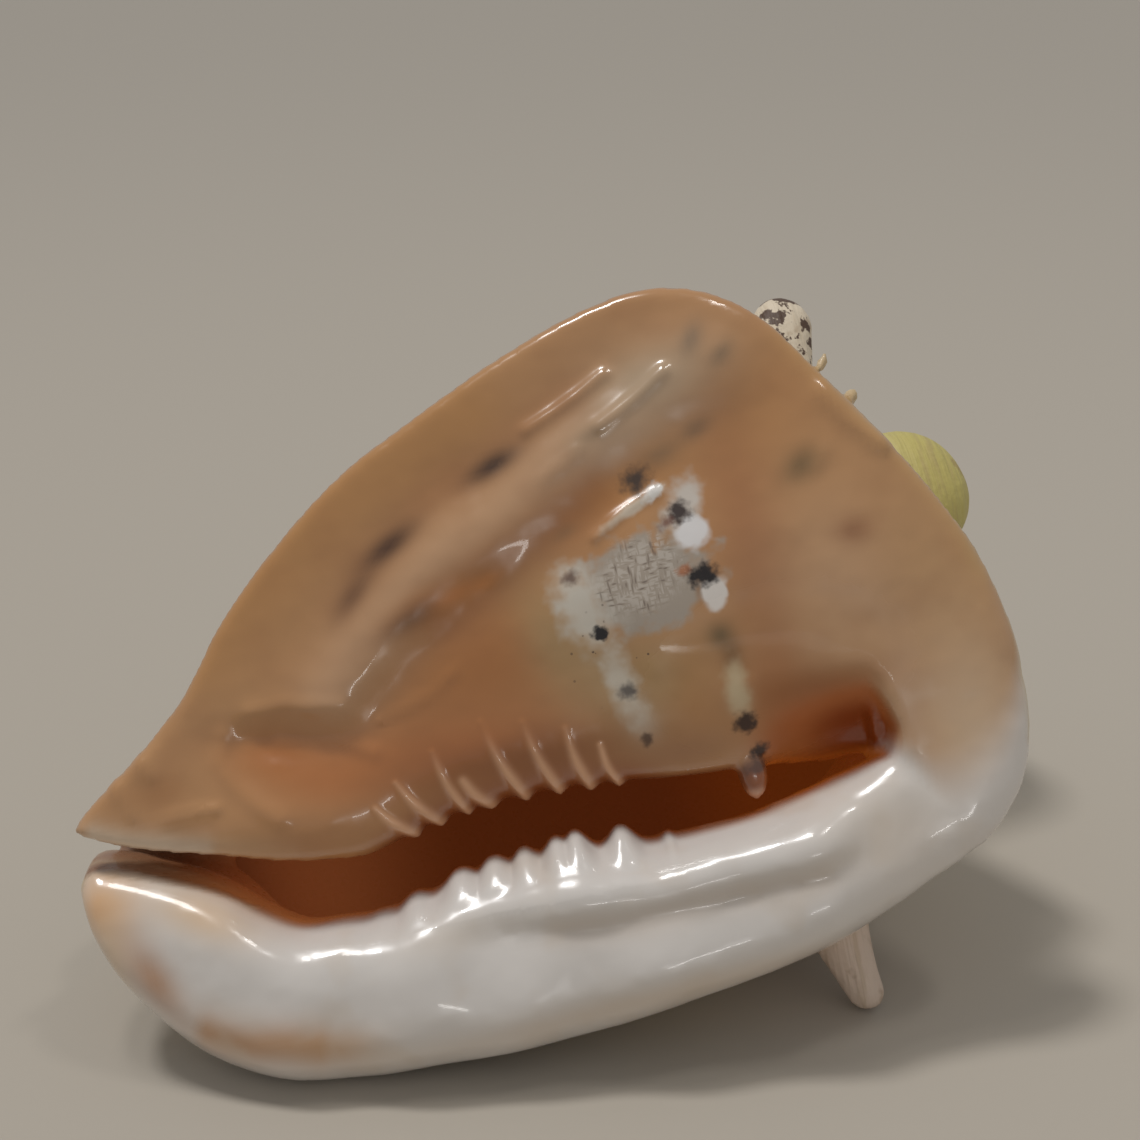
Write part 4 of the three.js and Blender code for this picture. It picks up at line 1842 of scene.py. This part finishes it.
    def front_on(self, n: Nodes, x: Sum, z: Sum, moved: Sum, shield: Sum, lip: Sum) -> Sum:
        """The painted colours with the drift, flecks and weave of the front over them.

        Args:
            n: the material's nodes.
            x: the station.
            z: the height.
            moved: the place in the shell's frame.
            shield: how much of the shield's callus lies here.
            lip: how much of the lip's glaze lies here.

        Returns:
            The colour.
        """
        tint = n.add("ShaderNodeAttribute", {"attribute_name": "tint"}, {}, "Color")
        drift = n.noise(moved, 0.06, 2.0) - 0.5
        colour = n.mix(drift * 0.7 * shield, tint, n.paint((150, 96, 56)))
        colour = n.mix(drift.eased(0.02, 0.2) * 0.35 * lip, colour, n.paint((206, 190, 172)))
        loose = (n.noise(moved, 0.2, 2.0) - 0.5) * 1.5
        tight = (n.noise(moved, 0.5, 2.0) - 0.5) * 1.5
        for spot in self.spots:
            wobble = loose if max(spot.long, spot.wide) > 4.1 else tight
            colour = self.spot_on(n, colour, spot, x, z, wobble, shield)
        dashes, woven = self.weave_at(n, x, z, moved)
        colour = n.mix(dashes.eased(0.56, 0.68) * woven * shield * 0.6, colour, n.paint((92, 74, 62)))
        colour = n.mix(dashes.eased(0.52, 0.42) * woven * shield * 0.5, colour, n.paint((206, 196, 184)))
        return self.specks_on(n, colour, x, z, moved, shield)

    def glow(self, n: Nodes, x: Sum, inside: Sum) -> Sum:
        """A painted glow in the mouth, standing in for the faint light that comes through the wall.

        Args:
            n: the material's nodes.
            x: the station.
            inside: how much of the mouth lies here.

        Returns:
            The painted glow, as a colour.
        """
        colour = n.mix(x.eased(30.0, 90.0), n.paint((88, 52, 28)), n.paint((48, 24, 8)))
        colour = n.mix(x.eased(140.0, 180.0), colour, n.paint((56, 30, 7)))
        return n.mix(inside * x.eased(16.0, 60.0) * 0.85, n.paint((0, 0, 0)), colour)

    def spot_on(
        self, n: Nodes, under: Sum, spot: Spot, x: Sum, z: Sum, wobble: Sum, where: Sum
    ) -> Sum:
        """Lays one fleck over the colour.

        Args:
            n: the material's nodes.
            under: the colour beneath.
            spot: the fleck.
            x: the station.
            z: the height.
            wobble: the noise that frays its edge.
            where: how much of it may show here.

        Returns:
            The colour.
        """
        gap = self.oval(Patch(spot.x, spot.z, spot.long, spot.wide, spot.turn), x, z) + wobble
        cover = gap.eased(1.0 + spot.soft * 0.6, 1.0 - spot.soft) * spot.strength * where
        return n.mix(cover, under, n.paint(spot.colour))

    def oval(self, patch: Patch, x: Sum, z: Sum) -> Sum:
        """How far each point lies from a patch's middle, with 1 at its edge.

        Args:
            patch: the patch.
            x: the station.
            z: the height.

        Returns:
            The distance, wrapped.
        """
        angle = math.radians(patch.turn)
        dx, dz = x - patch.x, z - patch.z
        a = (dx * math.cos(angle) + dz * math.sin(angle)) / patch.long
        b = (dz * math.cos(angle) - dx * math.sin(angle)) / patch.wide
        return (a * a + b * b) ** 0.5

    def weave_at(self, n: Nodes, x: Sum, z: Sum, moved: Sum) -> tuple[Sum, Sum]:
        """Fine crossing dashes, and how much of them the thin callus shows.

        Args:
            n: the material's nodes.
            x: the station.
            z: the height.
            moved: the place in the shell's frame.

        Returns:
            The dashes and their cover.
        """
        up = n.stretched(moved, (1.0, 0.3, 0.22), 0.12)
        across = n.stretched(moved, (0.25, 0.3, 1.0), 0.2)
        dashes = n.noise(up, 1.15, 1.0).most(n.noise(across, 1.3, 1.0)) - 0.06
        ragged = (n.noise(moved, 0.14, 3.0, 0.6) - 0.5) * 1.2
        return dashes, (self.oval(self.weave, x, z) + ragged).eased(1.1, 0.6)

    def specks_on(self, n: Nodes, under: Sum, x: Sum, z: Sum, moved: Sum, where: Sum) -> Sum:
        """Scatters tiny dark specks about the thin callus.

        Args:
            n: the material's nodes.
            under: the colour beneath.
            x: the station.
            z: the height.
            moved: the place in the shell's frame.
            where: how much of it may show here.

        Returns:
            The colour.
        """
        cell = n.add("ShaderNodeTexVoronoi", {}, {"Vector": moved, "Scale": 0.42, "Randomness": 1.0})
        patchy = n.noise(moved, 0.2, 2.0).eased(0.55, 0.62)
        near = self.oval(self.thin, x, z).eased(1.1, 0.6)
        return n.mix(cell.eased(0.17, 0.1) * patchy * near * where * 0.8, under, n.paint((60, 44, 36)))

    def back_on(self, n: Nodes, under: Sum, x: Sum, z: Sum, moved: Sum, where: Sum) -> Sum:
        """Marks the outer side with growth lines and brown mottling.

        Args:
            n: the material's nodes.
            under: the colour beneath.
            x: the station.
            z: the height.
            moved: the place in the shell's frame.
            where: how much of it may show here.

        Returns:
            The colour.
        """
        lines = n.noise(n.stretched(moved, (1.0, 0.12, 0.12)), 0.42, 3.0)
        colour = n.mix(lines.eased(0.52, 0.7) * where * 0.35, under, n.paint((172, 146, 108)))
        blotch = n.noise(moved, 0.075, 3.0, 0.6)
        colour = n.mix(blotch.eased(0.6, 0.68) * where * 0.45, colour, n.paint((150, 116, 78)))
        near_top = (z - 66.0).eased(0.0, 8.0) * (x - 186.0).eased(0.0, 6.0) * where
        mottle = n.noise(moved, 0.22, 3.0, 0.65)
        return n.mix(mottle.eased(0.5, 0.56) * near_top * 0.95, colour, n.paint((72, 44, 26)))


@dataclass(frozen=True)
class FloorPaint:
    """A plain pale floor finish."""

    colour: Colour = (180, 171, 158)

    def build(self) -> bpy.types.Material:
        """Makes the material.

        Returns:
            The material.
        """
        n = Nodes("floor_paint")
        looks = {"Base Color": n.paint(self.colour), "Roughness": 0.85}
        n.finish(n.add("ShaderNodeBsdfPrincipled", {}, looks))
        return n.material


# The studio ----------------------------------------------------------------------------------


def facing(way: Vector) -> Quaternion:
    """The turn that points a lamp or a camera along a way."""
    return way.to_track_quat("-Z", "Y")


@dataclass(frozen=True)
class SoftLight:
    """One soft lamp: where it hangs, what it points at, its size and its power."""

    name: str
    place: tuple[float, float, float]
    size: tuple[float, float]
    power: float
    aim: tuple[float, float, float] = (0.0, 0.0, 0.08)
    colour: tuple[float, float, float] = (1.0, 0.98, 0.95)

    def build(self) -> bpy.types.Object:
        """Hangs the lamp.

        Returns:
            The lamp.
        """
        lamp = bpy.data.lights.new(self.name, "AREA")
        lamp.shape = "RECTANGLE"
        lamp.size, lamp.size_y = self.size
        lamp.energy = self.power
        lamp.color = self.colour
        made = stand(self.name, lamp)
        made.location = self.place
        made.rotation_euler = facing(Vector(self.aim) - Vector(self.place)).to_euler()
        return made


@dataclass(frozen=True)
class Studio:
    """The floor, the lamps and the camera.

    Attributes:
        floor_size: the floor's side, in metres.
        lamps: the soft lamps.
        daylight: the strength of the broad light from above.
        daylight_from: the way it comes from.
        daylight_spread: how wide it looks, in degrees.
        sky: the strength of the light from all round.
        sky_colour: its colour.
        camera_place: where the camera stands.
        camera_aim: the point it looks at.
        camera_roll: how far it is turned about its own line of sight, in degrees.
        view: how wide it sees, in degrees.
    """

    floor_size: float = 80.0
    lamps: tuple[SoftLight, ...] = (
        SoftLight("lamp_key", (-0.30, 0.02, 1.5), (0.30, 0.14), 2.6),
        SoftLight("lamp_side", (0.42, -0.12, 1.4), (0.20, 0.12), 1.6),
        SoftLight("lamp_low", (0.45, -1.45, 0.16), (0.50, 0.05), 0.9),
    )
    daylight: float = 1.0
    daylight_from: tuple[float, float, float] = (-0.35, 0.12, 1.0)
    daylight_spread: float = 9.0
    sky: float = 0.36
    sky_colour: tuple[float, float, float, float] = (0.96, 0.98, 1.0, 1.0)
    camera_place: tuple[float, float, float] = (0.0030, -0.4031, 0.2867)
    camera_aim: tuple[float, float, float] = (0.0030, -0.0391, 0.1208)
    camera_roll: float = 0.7
    view: float = 37.8

    def build(self) -> None:
        """Sets the studio up."""
        self.floor()
        for lamp in self.lamps:
            lamp.build()
        self.broad_light()
        self.air()
        self.camera()
        bpy.context.scene.view_settings.view_transform = "Standard"
        log.info("studio: floor, %d lamps and a camera", len(self.lamps))

    def floor(self) -> bpy.types.Object:
        """Lays the floor.

        Returns:
            The floor.
        """
        mesh = bpy.data.meshes.new("floor")
        bm = bmesh.new()
        bmesh.ops.create_grid(bm, x_segments=1, y_segments=1, size=self.floor_size / 2)
        bm.to_mesh(mesh)
        bm.free()
        mesh.materials.append(FloorPaint().build())
        return stand("floor", mesh)

    def broad_light(self) -> bpy.types.Object:
        """Hangs the broad light above.

        Returns:
            The lamp.
        """
        sun = bpy.data.lights.new("daylight", "SUN")
        sun.energy = self.daylight
        sun.angle = math.radians(self.daylight_spread)
        made = stand("daylight", sun)
        made.rotation_euler = facing(-Vector(self.daylight_from)).to_euler()
        return made

    def air(self) -> None:
        """Fills the room with soft light."""
        world = bpy.data.worlds.new("studio_air")
        world.use_nodes = True
        glow = world.node_tree.nodes["Background"].inputs
        glow["Color"].default_value = self.sky_colour
        glow["Strength"].default_value = self.sky
        bpy.context.scene.world = world

    def camera(self) -> None:
        """Stands the camera up."""
        lens = bpy.data.cameras.new("camera")
        lens.angle = math.radians(self.view)
        lens.clip_start = 0.01
        camera = stand("camera", lens)
        place, aim = Vector(self.camera_place), Vector(self.camera_aim)
        turned = facing(aim - place).to_matrix().to_4x4()
        roll = Matrix.Rotation(math.radians(-self.camera_roll), 4, "Z")
        camera.matrix_world = Matrix.Translation(place) @ turned @ roll
        bpy.context.scene.camera = camera


def main() -> None:
    """Models the shell, dresses it and sets up the studio."""
    logging.basicConfig(level=logging.INFO, format="%(name)s: %(message)s")
    helmet = HelmetShell()
    shell, spots = helmet.build()
    helmet.dress(shell, spots, Glaze())
    Studio().build()


if __name__ == "__main__":
    main()
